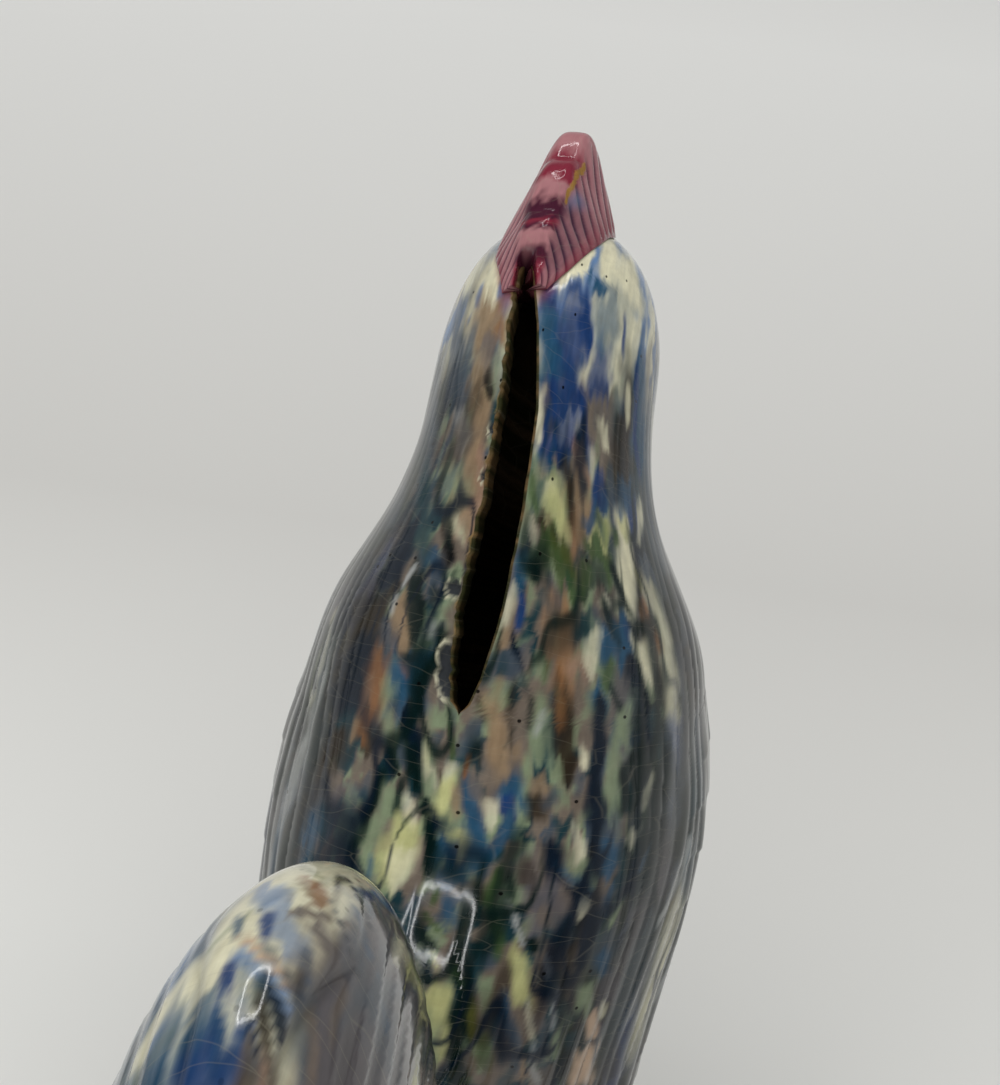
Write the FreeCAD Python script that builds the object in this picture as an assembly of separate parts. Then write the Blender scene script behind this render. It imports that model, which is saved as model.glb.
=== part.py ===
import FreeCAD, Part
import math
import os

# A press-moulded earthenware money box in the shape of a standing cockerel.
# The hollow bird is pressed in two halves that meet on the plane X = 0, with a coin
# slot cut down the nape. Comb, beak, wattles, wings, legs and base are separate clay
# pieces, luted on before firing. All lengths are in millimetres, +Z is up, the bird
# looks along -Y, and the origin is the centre of the foot that it stands on.

# Whole figure
body_length = 130.0
body_depth = 100.5
body_width = 56.5
wall = 4.5
leg_length = 44.0

# Coin slot, cut square through the nape
slot_length = 55.0
slot_width = 4.8
slot_shift = 3.6
slot_cut = 34.0

# Base
base_radius = 34.0
base_rim_height = 8.0
base_height = 15.0
base_wall = 4.5
base_ledge = 3.5
disc_thickness = 3.0
disc_recess = 1.5
vent_radius = 2.0

# Stump between the legs
stump_length = 36.0
stump_width = 26.0
stump_bore_radius = 6.0
stump_crown = 5.0
stump_forward = 2.0

# Comb
comb_rise = 12.0
comb_seat = 0.2
comb_base_width = 13.0
comb_ridge_width = 5.6
comb_shift = 3.2
comb_tooth = 1.0
comb_rib = 0.3

# Beak
beak_length = 11.0
beak_width = 8.6
beak_depth = 6.4
beak_rise = 1.4
lower_beak_length = 8.0
lower_beak_width = 6.4
lower_beak_depth = 3.2
lower_beak_drop = 2.6

# Face
eye_radius = 2.4
eye_sink = 1.2
ear_lobe_length = 11.0
ear_lobe_width = 7.5
ear_lobe_thickness = 4.4
wattle_length = 21.0
wattle_width = 10.0
wattle_thickness = 5.0
wattle_spread = 4.4
wattle_rise = 4.0

# Wings
wing_length_share = 0.6462
wing_length = body_length * wing_length_share
wing_depth = 40.0
wing_thickness = 1.3

# Tail
tail_length = 64.4
tail_height = 70.0
tail_thickness = 20.3

# Legs
thigh_length = 35.0
thigh_width = 22.0
hip_height = 74.0
leg_radius = 3.8
leg_spread = 14.5
leg_forward = 6.0
hock_radius = 5.6
ankle_radius = 4.0
leg_root = 2.0
spur_length = 8.0
spur_radius = 2.2
spur_tip_radius = 0.6
toe_length = 17.0
toe_radius = 2.7
toe_sink = 0.8

# How far cutting tools run past what they cut
overrun = 10.0

belly_height = base_height + leg_length

# Side profile of the bird, from the face back to the root of the tail. Each row is one
# section: where its back edge and its belly edge lie, forward of the origin as shares of
# body_length and above the belly as shares of body_depth, and its half width as a share
# of body_width.
body_shares = [
    (0.492, 0.900, 0.477, 0.818, 0.085),
    (0.454, 0.965, 0.438, 0.741, 0.179),
    (0.385, 1.000, 0.400, 0.677, 0.239),
    (0.308, 0.980, 0.377, 0.607, 0.256),
    (0.231, 0.910, 0.392, 0.527, 0.267),
    (0.154, 0.806, 0.431, 0.433, 0.320),
    (0.077, 0.687, 0.462, 0.313, 0.435),
    (0.000, 0.592, 0.462, 0.179, 0.487),
    (-0.092, 0.530, 0.400, 0.060, 0.500),
    (-0.192, 0.507, 0.262, 0.000, 0.468),
    (-0.292, 0.524, 0.077, 0.005, 0.420),
    (-0.385, 0.573, -0.123, 0.090, 0.370),
    (-0.446, 0.597, -0.323, 0.269, 0.250),
    (-0.492, 0.632, -0.431, 0.458, 0.095),
]
face_share = 0.0
cavity_first_share = 0.1
cavity_last_share = 0.923
slot_first_share = 0.2115
slot_middle_share = 0.3846

# Coin slot, from its upper end down: how far along, half width as a share of slot_width,
# and how far it wanders to the bird's left as a share of slot_shift.
slot_shares = [
    (0.00, 0.12, 1.00),
    (0.16, 0.34, 0.70),
    (0.34, 0.47, 0.43),
    (0.55, 0.49, 0.39),
    (0.78, 0.52, 0.60),
    (0.93, 0.36, 0.72),
    (1.00, 0.14, 0.75),
]

# Tail, from its root to its tip: front edge and rear edge, behind the tail root as shares
# of tail_length and above it as shares of tail_height, and half thickness as a share of
# tail_thickness.
tail_root_share = 0.8462
tail_shares = [
    (-0.070, -0.079, 0.000, -0.303, 0.286),
    (0.017, 0.231, 0.348, -0.183, 0.365),
    (0.104, 0.524, 0.574, 0.024, 0.426),
    (0.226, 0.783, 0.730, 0.197, 0.471),
    (0.400, 0.955, 0.835, 0.317, 0.500),
    (0.609, 0.998, 0.922, 0.369, 0.477),
    (0.817, 0.903, 0.974, 0.352, 0.396),
    (0.957, 0.697, 0.991, 0.300, 0.294),
    (1.000, 0.490, 1.000, 0.300, 0.176),
]

# Comb, from the nape forward: how far along its seat, height of the ridge as a share of
# comb_rise, half widths at the seat and at the ridge as shares of the full widths, and
# how far the seat and the ridge lie to the bird's left as shares of comb_shift.
comb_rear_share = 0.237
comb_front_share = 0.0269
comb_teeth = 5
comb_ribs = 11
comb_flare = 1.6
comb_seat_share = 0.3
comb_shares = [
    (0.00, 0.12, 0.22, 0.32, 1.00, 1.00),
    (0.12, 0.24, 0.35, 0.38, 0.80, 0.98),
    (0.25, 0.37, 0.46, 0.44, 0.69, 0.90),
    (0.38, 0.57, 0.51, 0.50, 0.48, 0.66),
    (0.50, 0.76, 0.53, 0.53, 0.34, 0.44),
    (0.62, 0.90, 0.52, 0.54, 0.14, 0.20),
    (0.75, 0.82, 0.43, 0.50, 0.00, 0.05),
    (0.88, 0.48, 0.34, 0.40, 0.00, 0.00),
    (1.00, 0.10, 0.20, 0.26, 0.00, 0.00),
]

# Wing outline in side view, from the shoulder round the lower edge to the tip and back:
# behind the shoulder as shares of wing_length, above it as shares of wing_depth.
wing_share = 0.5154
wing_turn = math.radians(104)
wing_shares = [
    (0.00, 0.02),
    (0.03, -0.20),
    (0.12, -0.42),
    (0.28, -0.57),
    (0.46, -0.58),
    (0.64, -0.42),
    (0.82, -0.12),
    (1.00, 0.20),
    (0.84, 0.22),
    (0.62, 0.20),
    (0.40, 0.24),
    (0.20, 0.27),
    (0.06, 0.20),
]

# Eye and ear lobe on the side of the head
eye_share = 0.105
eye_turn = math.radians(100)
ear_lobe_share = 0.18
ear_lobe_turn = math.radians(136)
ear_lobe_shares = [-0.98, -0.85, -0.6, -0.3, 0.0, 0.3, 0.6, 0.85, 0.98]

# Wattle, from the chin down: drop and step forward as shares of wattle_length, half
# width fore and aft and half thickness as shares of the full sizes.
wattle_share = 0.0692
wattle_shares = [
    (0.00, 0.06, 0.24, 0.30),
    (0.20, 0.07, 0.34, 0.42),
    (0.45, 0.03, 0.45, 0.50),
    (0.70, -0.02, 0.50, 0.48),
    (0.88, -0.04, 0.40, 0.38),
    (1.00, -0.05, 0.16, 0.16),
]

# Beaks, from the face to the tip: reach and droop as shares of the beak's length and
# depth, and half width and half depth as shares of the full sizes.
upper_beak_shares = [
    (-0.24, 0.02, 0.50, 0.50),
    (0.14, 0.03, 0.48, 0.50),
    (0.42, -0.04, 0.36, 0.43),
    (0.70, -0.20, 0.22, 0.32),
    (0.90, -0.42, 0.12, 0.20),
    (1.00, -0.58, 0.07, 0.10),
]
lower_beak_shares = [
    (-0.34, 0.00, 0.50, 0.50),
    (0.20, 0.02, 0.45, 0.48),
    (0.60, 0.05, 0.28, 0.36),
    (0.88, 0.08, 0.15, 0.22),
    (1.00, 0.10, 0.08, 0.12),
]

# Thigh, from the hip to the hock: drop as a share of thigh_length, step forward and
# half widths fore and aft and across as shares of thigh_width.
thigh_shares = [
    (0.00, -0.04, 0.44, 0.40),
    (0.25, 0.06, 0.54, 0.48),
    (0.50, 0.08, 0.52, 0.44),
    (0.75, 0.02, 0.40, 0.34),
    (1.00, -0.08, 0.29, 0.27),
]

# Leg below the hock: drop as a share of its length, step forward as a share of
# hock_radius, and radius as a share of hock_radius.
leg_shares = [
    (0.00, -0.31, 1.00),
    (0.14, -0.36, 0.88),
    (0.34, -0.20, 0.70),
    (0.66, 0.00, 0.68),
    (0.86, 0.06, 0.72),
    (1.00, 0.10, 0.82),
]
spur_height_share = 0.55
spur_swing = math.radians(32)
spur_rise = math.radians(14)

# Toes fan out from the ankle at these angles from straight ahead towards the outside,
# and reach these shares of toe_length. Along each toe: reach, radius as a share of
# toe_radius.
toe_fan = [(math.radians(-8), 1.00), (math.radians(28), 0.94), (math.radians(64), 0.72)]
toe_fan.append((math.radians(170), 0.60))
toe_shares = [(0.00, 0.90), (0.36, 1.00), (0.66, 0.86), (0.88, 0.64), (1.00, 0.34)]
bone_share = 0.86

# Stump, from its foot up in even steps: length and width as shares of the full sizes
stump_shares = [(1.00, 1.00), (0.80, 0.80), (0.72, 0.73), (0.70, 0.72), (0.74, 0.76), (0.84, 0.86)]

# Sections along each form, and points round a section
body_steps = 39
tail_steps = 24
half_ring_steps = 16
ring_steps = 28
comb_steps = 66


def spline(rows):
    """A smooth curve through the rows: natural cubic, one unit of t from row to row."""
    count = len(rows)
    columns = []
    for values in zip(*rows):
        bend = [0.0] * count
        scale = [0.0] * count
        for i in range(1, count - 1):
            pivot = 4.0 - scale[i - 1]
            scale[i] = 1.0 / pivot
            jump = 6.0 * (values[i + 1] - 2.0 * values[i] + values[i - 1])
            bend[i] = (jump - bend[i - 1]) / pivot
        for i in range(count - 2, 0, -1):
            bend[i] -= scale[i] * bend[i + 1]
        columns.append((values, bend))

    def at(t):
        i = max(0, min(count - 2, int(math.floor(t))))
        u = t - i
        low = 1.0 - u
        return [
            low * v[i] + u * v[i + 1] + ((low**3 - low) * b[i] + (u**3 - u) * b[i + 1]) / 6.0
            for v, b in columns
        ]

    return at


def shares_of(rows, sizes):
    """A table of shares turned into lengths, one size per column."""
    return [[share * size for share, size in zip(row, sizes)] for row in rows]


def point(side, forward, up):
    """A point of the figure: to the bird's left, forward and up."""
    return FreeCAD.Vector(side, -forward, up)


def two_rail(at, t, turn):
    """A point of a form between a back edge and a belly edge: an ellipse at section t."""
    back_f, back_z, belly_f, belly_z, half_width = at(t)
    share = (1.0 + math.cos(turn)) / 2.0
    return point(
        half_width * math.sin(turn),
        belly_f + (back_f - belly_f) * share,
        belly_z + (back_z - belly_z) * share,
    )


def half_grid(place, first, last, sections):
    """Points over the left half of a form, from its back edge to its belly edge."""
    grid = []
    for i in range(sections + 1):
        along = first + (last - first) * i / sections
        row = [place(along, math.pi * j / half_ring_steps) for j in range(half_ring_steps + 1)]
        row[0].x = 0.0
        row[-1].x = 0.0
        if i in (0, sections):
            row = [onto_section(row, p) for p in row]
        grid.append(row)
    return grid


def onto_section(row, p):
    """A point moved into the flat section that holds the row's two ends and the X axis."""
    chord = row[0] - row[-1]
    normal = chord.cross(FreeCAD.Vector(1, 0, 0))
    normal.normalize()
    return p - normal * (p - row[0]).dot(normal)


def sewn(faces):
    """One closed solid from faces whose edges meet."""
    shell = Part.makeShell(faces)
    shell.sewShape()
    solid = Part.makeSolid(Part.Shell(shell.Faces))
    if solid.Volume < 0:
        solid.reverse()
    return solid


def flat_face(edges):
    return Part.Face(Part.Wire(Part.__sortEdges__(edges)))


def half_solid(grid):
    """The solid between a grid of points over the left half and the plane X = 0."""
    surface = Part.BSplineSurface()
    surface.interpolate(grid)
    skin = surface.toShape()
    first, back, last, belly = skin.Edges
    first_chord = Part.LineSegment(grid[0][0], grid[0][-1]).toShape()
    last_chord = Part.LineSegment(grid[-1][0], grid[-1][-1]).toShape()
    ends = [flat_face([first, first_chord]), flat_face([last, last_chord])]
    return sewn([skin, flat_face([back, belly, first_chord, last_chord])] + ends)


def tube_solid(rings):
    """The solid inside a stack of closed rings of points, flat at both ends."""
    surface = Part.BSplineSurface()
    surface.interpolate([ring_points + [ring_points[0]] for ring_points in rings])
    for i, row in enumerate(surface.getPoles()):
        surface.setPole(i + 1, len(row), row[0])
    skin = surface.toShape()
    return sewn([skin] + [flat_face([edge]) for edge in skin.Edges if edge.isClosed()])


def ring(centre, axis_a, axis_b):
    """An ellipse of points about a centre, with its two half axes."""
    turns = [2.0 * math.pi * i / ring_steps for i in range(ring_steps)]
    return [centre + axis_a * math.cos(a) + axis_b * math.sin(a) for a in turns]


def mirrored(shape):
    """The same piece on the bird's right."""
    return shape.mirror(FreeCAD.Vector(0, 0, 0), FreeCAD.Vector(1, 0, 0))


def largest(shape):
    """The one solid that a cut leaves, without any sliver of it."""
    return max(shape.Solids, key=lambda solid: solid.Volume)


body_sizes = (body_length, body_depth, body_length, body_depth, body_width)
body_rows = shares_of(body_shares, body_sizes)
for body_row in body_rows:
    body_row[1] += belly_height
    body_row[3] += belly_height
body_at = spline(body_rows)
body_sections = len(body_rows) - 1


def skin_point(along, turn):
    """The bird's outer skin: along runs from 0 at the face to 1 at the tail root, and turn
    from 0 on the back to pi on the belly."""
    return two_rail(body_at, along * body_sections, turn)


def skin_normal(along, turn):
    """The outward direction of the skin, square to it."""
    step = 0.001
    low, high = max(0.0, along - step), min(1.0, along + step)
    lengthwise = skin_point(high, turn) - skin_point(low, turn)
    across = skin_point(along, turn + step) - skin_point(along, turn - step)
    normal = lengthwise.cross(across)
    normal.normalize()
    outwards = skin_point(along, turn) - skin_middle(along)
    return normal if normal.dot(outwards) > 0 else normal * -1.0


def skin_middle(along):
    return (skin_point(along, 0.0) + skin_point(along, math.pi)) * 0.5


def skin_lifted(lift):
    """Places points at height lift over the skin, or under it where lift is negative."""
    return lambda along, turn: skin_point(along, turn) + skin_normal(along, turn) * lift


body_solid = half_solid(half_grid(skin_point, 0.0, 1.0, body_steps))
body_solid_right = mirrored(body_solid)
cavity_solid = half_solid(
    half_grid(skin_lifted(-wall), cavity_first_share, cavity_last_share, body_steps)
)


def off_the_body(shape):
    """What is left of a piece once the bird's own solid is taken out of it."""
    return shape.cut(body_solid).cut(body_solid_right)


def slot_tool():
    """The cutter for the slot: a long curved lens, pushed square through the nape."""
    across = FreeCAD.Vector(1, 0, 0)
    top = skin_point(slot_first_share, 0.0)
    down = skin_point(slot_middle_share, 0.0) - top
    down.normalize()
    out = across.cross(down)
    left, right = [], []
    for along, half, shift in shares_of(slot_shares, (slot_length, slot_width, slot_shift)):
        middle = top + out * overrun + down * along + across * shift
        left.append(middle + across * half)
        right.append(middle - across * half)
    edges = []
    for side_points in (left, right):
        curve = Part.BSplineCurve()
        curve.interpolate(side_points)
        edges.append(curve.toShape())
    edges.append(Part.LineSegment(left[0], right[0]).toShape())
    edges.append(Part.LineSegment(left[-1], right[-1]).toShape())
    return flat_face(edges).extrude(out * -slot_cut)


slot_solid = slot_tool()


def body_half():
    """The left half of the hollow bird, before the slot is cut."""
    return body_solid.cut(cavity_solid)


def tail_half():
    """Half of the tail, which rises from the rump and folds over at its tip."""
    root = skin_point(tail_root_share, 0.0)
    sizes = (-tail_length, tail_height, -tail_length, tail_height, tail_thickness)
    rows = shares_of(tail_shares, sizes)
    for row in rows:
        row[0] -= root.y
        row[1] += root.z
        row[2] -= root.y
        row[3] += root.z
    at = spline(rows)
    last = len(rows) - 1
    grid = half_grid(lambda along, turn: two_rail(at, along * last, turn), 0.0, 1.0, tail_steps)
    return largest(half_solid(grid).cut(body_solid))


def comb():
    """A thick ribbed wedge along the crown, with low teeth, its rear drawn to one side."""
    rows = [row[1:] for row in comb_shares]
    sizes = (comb_rise, comb_base_width, comb_ridge_width, comb_shift, comb_shift)
    at = spline(shares_of(rows, sizes))
    places = [row[0] for row in comb_shares]
    grid = []
    for i in range(comb_steps + 1):
        u = i / comb_steps
        k = max(j for j in range(len(places) - 1) if places[j] <= u)
        section = at(k + (u - places[k]) / (places[k + 1] - places[k]))
        section[0] += comb_tooth * (math.cos(math.tau * comb_teeth * u) - 1.0) / 2.0
        rib = comb_rib * math.cos(math.tau * comb_ribs * u)
        section[1] += rib
        section[2] += rib
        along = comb_rear_share + (comb_front_share - comb_rear_share) * u
        grid.append(comb_ring(along, section))
    for row in (grid[0], grid[-1]):
        row[:] = [onto_section((row[0], row[ring_steps // 2]), p) for p in row]
    return largest(tube_solid(grid).cut(slot_solid))


def comb_ring(along, section):
    """One section across the comb: its seat follows the head, its ridge is rounded."""
    rise, seat_half, ridge_half, seat_shift, ridge_shift = section
    out = skin_normal(along, 0.0)
    head_half = body_at(along * body_sections)[4]
    points = []
    for i in range(ring_steps):
        turn = math.tau * i / ring_steps
        share = ((1.0 + math.cos(turn)) / 2.0 - comb_seat_share) / (1.0 - comb_seat_share)
        share = max(0.0, share)
        half = ridge_half + (seat_half - ridge_half) * (1.0 - share) ** comb_flare
        side = math.copysign(math.sqrt(abs(math.sin(turn))), math.sin(turn)) * half
        side += seat_shift + (ridge_shift - seat_shift) * share
        lift = comb_seat + rise * share
        points.append(skin_point(along, math.asin(side / head_half)) + out * lift)
    return points


def beak(rows, length, width, depth, rise):
    """A beak that narrows and hooks down from the face to its tip."""
    face = skin_middle(face_share)
    rings = []
    for reach, droop, half_width, half_depth in rows:
        centre = point(0.0, reach * length - face.y, face.z + rise + droop * depth)
        side = FreeCAD.Vector(half_width * width, 0, 0)
        rings.append(ring(centre, side, FreeCAD.Vector(0, 0, half_depth * depth)))
    return off_the_body(tube_solid(rings))


def eye():
    out = skin_normal(eye_share, eye_turn)
    centre = skin_point(eye_share, eye_turn) - out * eye_sink
    return largest(off_the_body(Part.makeSphere(eye_radius, centre)))


def ear_lobe():
    """A flat oval lobe under the ear, its long way down the side of the head."""
    out = skin_normal(ear_lobe_share, ear_lobe_turn)
    centre = skin_point(ear_lobe_share, ear_lobe_turn)
    up = FreeCAD.Vector(0, 0, 1)
    down = out * out.dot(up) - up
    down.normalize()
    fore = out.cross(down)
    rings = []
    for share in ear_lobe_shares:
        girth = math.sqrt(1.0 - share**2)
        middle = centre + down * (share * ear_lobe_length / 2.0)
        thick = out * (girth * ear_lobe_thickness / 2.0)
        rings.append(ring(middle, thick, fore * (girth * ear_lobe_width / 2.0)))
    return largest(off_the_body(tube_solid(rings)))


def wattle():
    """A fleshy lobe that hangs from the chin against the throat."""
    chin = skin_point(wattle_share, math.pi)
    rings = []
    for drop, step, half_width, half_thickness in wattle_shares:
        centre = point(
            wattle_spread,
            step * wattle_length - chin.y,
            chin.z + wattle_rise - drop * wattle_length,
        )
        side = FreeCAD.Vector(half_thickness * wattle_thickness, 0, 0)
        rings.append(ring(centre, side, FreeCAD.Vector(0, half_width * wattle_width, 0)))
    return tube_solid(rings)


def wing():
    """A thin folded wing that follows the flank: the skin raised within its outline."""
    shoulder = skin_point(wing_share, wing_turn)
    outline = [
        FreeCAD.Vector(0, shoulder.y + back * wing_length, shoulder.z + up * wing_depth)
        for back, up in wing_shares
    ]
    curve = Part.BSplineCurve()
    curve.interpolate(outline, PeriodicFlag=True)
    plate = flat_face([curve.toShape()]).extrude(FreeCAD.Vector(body_width, 0, 0))
    raised = half_solid(half_grid(skin_lifted(wing_thickness), 0.0, 1.0, body_steps))
    return largest(raised.common(plate).cut(body_solid))


def level_ring(side, forward, up, half_length, half_width):
    """A level oval ring of points."""
    long_way = FreeCAD.Vector(0, half_length, 0)
    return ring(point(side, forward, up), long_way, FreeCAD.Vector(half_width, 0, 0))


def thigh():
    rings = []
    for drop, step, half_length, half_width in shares_of(
        thigh_shares, (thigh_length, thigh_width, thigh_width, thigh_width)
    ):
        rings.append(
            level_ring(leg_spread, leg_forward + step, hip_height - drop, half_length, half_width)
        )
    return largest(tube_solid(rings).cut(body_solid))


def leg():
    """The shank, from the hock down to the foot, round all the way."""
    top = hip_height - thigh_length
    length = top - mound_top(leg_spread) + leg_root
    rings = []
    for drop, step, radius in shares_of(leg_shares, (length, hock_radius, hock_radius)):
        rings.append(level_ring(leg_spread, leg_forward + step, top - drop, radius, radius))
    return tube_solid(rings)


def spur():
    """A short blunt spur on the back of the shank, turned inwards and up."""
    aim = point(
        -math.sin(spur_swing) * math.cos(spur_rise),
        -math.cos(spur_swing) * math.cos(spur_rise),
        math.sin(spur_rise),
    )
    hock = hip_height - thigh_length
    foot_top = mound_top(leg_spread)
    root = point(leg_spread, leg_forward, foot_top + (hock - foot_top) * spur_height_share)
    reach = leg_radius + spur_length
    return Part.makeCone(spur_radius, spur_tip_radius, reach, root, aim)


def mound_top(reach):
    """The height of the domed base at a distance from its centre."""
    share = math.cos(math.pi / 2.0 * min(1.0, reach / base_radius))
    return base_rim_height + (base_height - base_rim_height) * share


def toe(angle, reach_share):
    """A jointed toe that lies on the base: tapered bones between round knuckles."""
    ahead = point(math.sin(angle), math.cos(angle), 0.0)
    ankle = point(leg_spread, leg_forward, 0.0)
    knuckles = []
    for reach, girth in toe_shares:
        centre = ankle + ahead * (reach * reach_share * toe_length)
        radius = girth * toe_radius
        centre.z = mound_top(math.hypot(centre.x, centre.y)) + radius - toe_sink
        knuckles.append((centre, radius))
    solids = []
    for (near, near_radius), (far, far_radius) in zip(knuckles, knuckles[1:]):
        bone = far - near
        slim, slimmer = near_radius * bone_share, far_radius * bone_share
        solids.append(Part.makeCone(slim, slimmer, bone.Length, near, bone))
        solids.append(Part.makeSphere(far_radius, far))
    return solids


def foot():
    """Three toes ahead and one behind, joined under the ankle."""
    ankle = point(leg_spread, leg_forward, mound_top(math.hypot(leg_spread, leg_forward)))
    whole = Part.makeSphere(ankle_radius, ankle)
    for angle, reach_share in toe_fan:
        whole = whole.multiFuse(toe(angle, reach_share))
    return whole


def stump():
    """A short tree stump that carries the belly, hollow from below."""
    foot_z = mound_top(0.0) - leg_root
    reach = belly_height + overrun - foot_z
    rings = []
    for i, (length, width) in enumerate(stump_shares):
        half_length = length * stump_length / 2.0
        up = foot_z + reach * i / (len(stump_shares) - 1)
        rings.append(level_ring(0.0, stump_forward, up, half_length, width * stump_width / 2.0))
    return tube_solid(rings)


def stump_bore():
    """The bore that runs up through the base into the stump."""
    start = point(0.0, stump_forward, 0.0)
    return Part.makeCylinder(stump_bore_radius, belly_height - stump_crown, start)


def base_mound():
    """A round mound with an upright rim, hollow below, with a ledge for the base disc."""
    steps = [base_radius * i / half_ring_steps for i in range(half_ring_steps + 1)]
    inner = base_radius - base_wall - base_ledge
    top = [FreeCAD.Vector(r, 0, mound_top(r)) for r in steps]
    under_steps = [inner * i / half_ring_steps for i in range(half_ring_steps + 1)]
    under = [FreeCAD.Vector(r, 0, mound_top(r) - base_wall) for r in under_steps]
    outer_solid = turned(top, base_radius)
    hollow = turned(under, inner)
    recess = Part.makeCylinder(base_radius - base_wall, disc_recess + disc_thickness)
    return outer_solid.cut(hollow).cut(recess)


def turned(top, radius):
    """The solid under a curve that is turned about the Z axis, down to the floor."""
    curve = Part.BSplineCurve()
    curve.interpolate(top)
    centre = FreeCAD.Vector(0, 0, 0)
    rim = FreeCAD.Vector(radius, 0, 0)
    lines = [Part.LineSegment(centre, top[0]), Part.LineSegment(centre, rim)]
    lines.append(Part.LineSegment(rim, top[-1]))
    section = flat_face([curve.toShape()] + [line.toShape() for line in lines])
    return section.revolve(centre, FreeCAD.Vector(0, 0, 1), 360)


def base_disc():
    """The flat disc that closes the base from below, with a small vent."""
    start = FreeCAD.Vector(0, 0, disc_recess)
    disc = Part.makeCylinder(base_radius - base_wall, disc_thickness, start)
    return disc.cut(Part.makeCylinder(vent_radius, base_height))


def save(name, shape):
    shape.exportStep(os.path.join("parts", name + ".step"))
    print(name, len(shape.Solids), shape.isValid(), round(shape.Volume, 1))


def save_pair(name, shape):
    """Writes the piece on the bird's left and its mirror image on the right."""
    save("left_" + name, shape)
    save("right_" + name, mirrored(shape))


def main():
    os.makedirs("parts", exist_ok=True)
    save("left_body_half", body_half().cut(slot_solid))
    save("right_body_half", mirrored(body_half()).cut(slot_solid))
    save_pair("tail_half", tail_half())
    save("comb", comb())
    upper = beak(upper_beak_shares, beak_length, beak_width, beak_depth, beak_rise)
    lower = beak(
        lower_beak_shares, lower_beak_length, lower_beak_width, lower_beak_depth, -lower_beak_drop
    ).cut(upper)
    save("upper_beak", largest(upper))
    save("lower_beak", largest(lower))
    save_pair("eye", eye())
    save_pair("ear_lobe", ear_lobe())
    save_pair("wattle", largest(off_the_body(wattle()).cut(lower)))
    save_pair("wing", wing())
    whole_mound, whole_foot, whole_leg = base_mound(), foot(), leg()
    post = largest(off_the_body(stump()).cut(whole_mound))
    save_pair("thigh", largest(thigh().cut(post)))
    save_pair("leg", largest(whole_leg.cut(post).cut(whole_foot).cut(whole_mound)))
    save_pair("spur", largest(spur().cut(whole_leg).cut(post)))
    save_pair("foot", largest(whole_foot.cut(whole_mound).cut(post)))
    save("stump", post.cut(stump_bore()))
    save("base_mound", whole_mound.cut(stump_bore()))
    save("base_disc", base_disc())


main()
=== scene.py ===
import bpy
import numpy as np
from mathutils import Matrix, Vector


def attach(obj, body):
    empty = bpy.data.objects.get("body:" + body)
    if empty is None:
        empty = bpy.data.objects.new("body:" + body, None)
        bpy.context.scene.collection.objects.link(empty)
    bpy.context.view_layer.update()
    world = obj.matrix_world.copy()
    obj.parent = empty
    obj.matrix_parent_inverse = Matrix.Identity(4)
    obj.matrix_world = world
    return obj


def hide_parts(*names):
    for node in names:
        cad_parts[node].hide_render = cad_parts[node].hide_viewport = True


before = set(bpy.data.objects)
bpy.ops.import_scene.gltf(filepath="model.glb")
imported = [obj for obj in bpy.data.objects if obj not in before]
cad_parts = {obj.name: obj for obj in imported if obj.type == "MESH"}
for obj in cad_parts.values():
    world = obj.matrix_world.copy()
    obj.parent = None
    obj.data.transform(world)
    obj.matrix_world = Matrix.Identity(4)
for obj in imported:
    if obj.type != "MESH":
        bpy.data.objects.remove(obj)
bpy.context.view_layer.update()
scene = bpy.context.scene
scene.view_settings.view_transform = "Standard"

# Camera: a phone held above and behind the bird's tail, looking down its back. Its place
# and lens are fitted to the outlines of the neck, flanks and slot.
cam_data = bpy.data.cameras.new("camera")
cam_data.lens = 57.32
cam_data.clip_start, cam_data.clip_end = 0.01, 50.0
cam = bpy.data.objects.new("camera", cam_data)
scene.collection.objects.link(cam)
cam_right = Vector((-0.98383, -0.16964, 0.05743))
cam_up = Vector((0.15137, -0.61661, 0.77260))
cam_pose = Matrix((cam_right, cam_up, cam_right.cross(cam_up))).transposed().to_4x4()
cam_pose.translation = (-0.01852, 0.140734, 0.265055)
cam.matrix_world = cam_pose
scene.camera = cam


# Floor: one pale matt table top that runs on out of sight. Studio light: a wide soft
# lamp overhead and a room that is bright low down and dim above, as a light tent is.
def srgb(r, g, b):
    """Linear colour of three 0-255 values: each one's share of 255, straightened by the
    sRGB curve (share + 0.055) / 1.055 to the power 2.4, or share / 12.92 when small."""
    c = np.array((r, g, b)) / 255.0
    return tuple(np.where(c > 0.04045, ((c + 0.055) / 1.055) ** 2.4, c / 12.92)) + (1.0,)


def node_of(tree, kind, **settings):
    """Adds a shader node and sets its properties."""
    made = tree.nodes.new(kind)
    for key, value in settings.items():
        setattr(made, key, value)
    return made


floor_mesh = bpy.data.meshes.new("floor")
floor_mesh.from_pydata([(-4, -4, 0), (4, -4, 0), (4, 4, 0), (-4, 4, 0)], [], [(0, 1, 2, 3)])
floor = bpy.data.objects.new("floor", floor_mesh)
scene.collection.objects.link(floor)
floor_look = bpy.data.materials.new("table_top")
floor_look.use_nodes = True
floor_bsdf = floor_look.node_tree.nodes["Principled BSDF"]
floor_tree = floor_look.node_tree
floor_place = node_of(floor_tree, "ShaderNodeTexCoord")
floor_split = node_of(floor_tree, "ShaderNodeSeparateXYZ")
floor_far = node_of(floor_tree, "ShaderNodeMapRange")
floor_far.inputs["From Min"].default_value = 0.0
floor_far.inputs["From Max"].default_value = -0.50
# painted light: the floor's colour runs lighter near the bird and far off and darker between, for the
# tent's uneven light
floor_painted_light = node_of(floor_tree, "ShaderNodeValToRGB")
for at, shade in ((0.1, (230, 230, 226)), (0.36, (211, 210, 206)), (0.999, (238, 238, 235))):
    stop = floor_painted_light.color_ramp.elements.new(at)
    stop.color = srgb(*shade)
floor_painted_light.color_ramp.elements.remove(floor_painted_light.color_ramp.elements[0])
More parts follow.
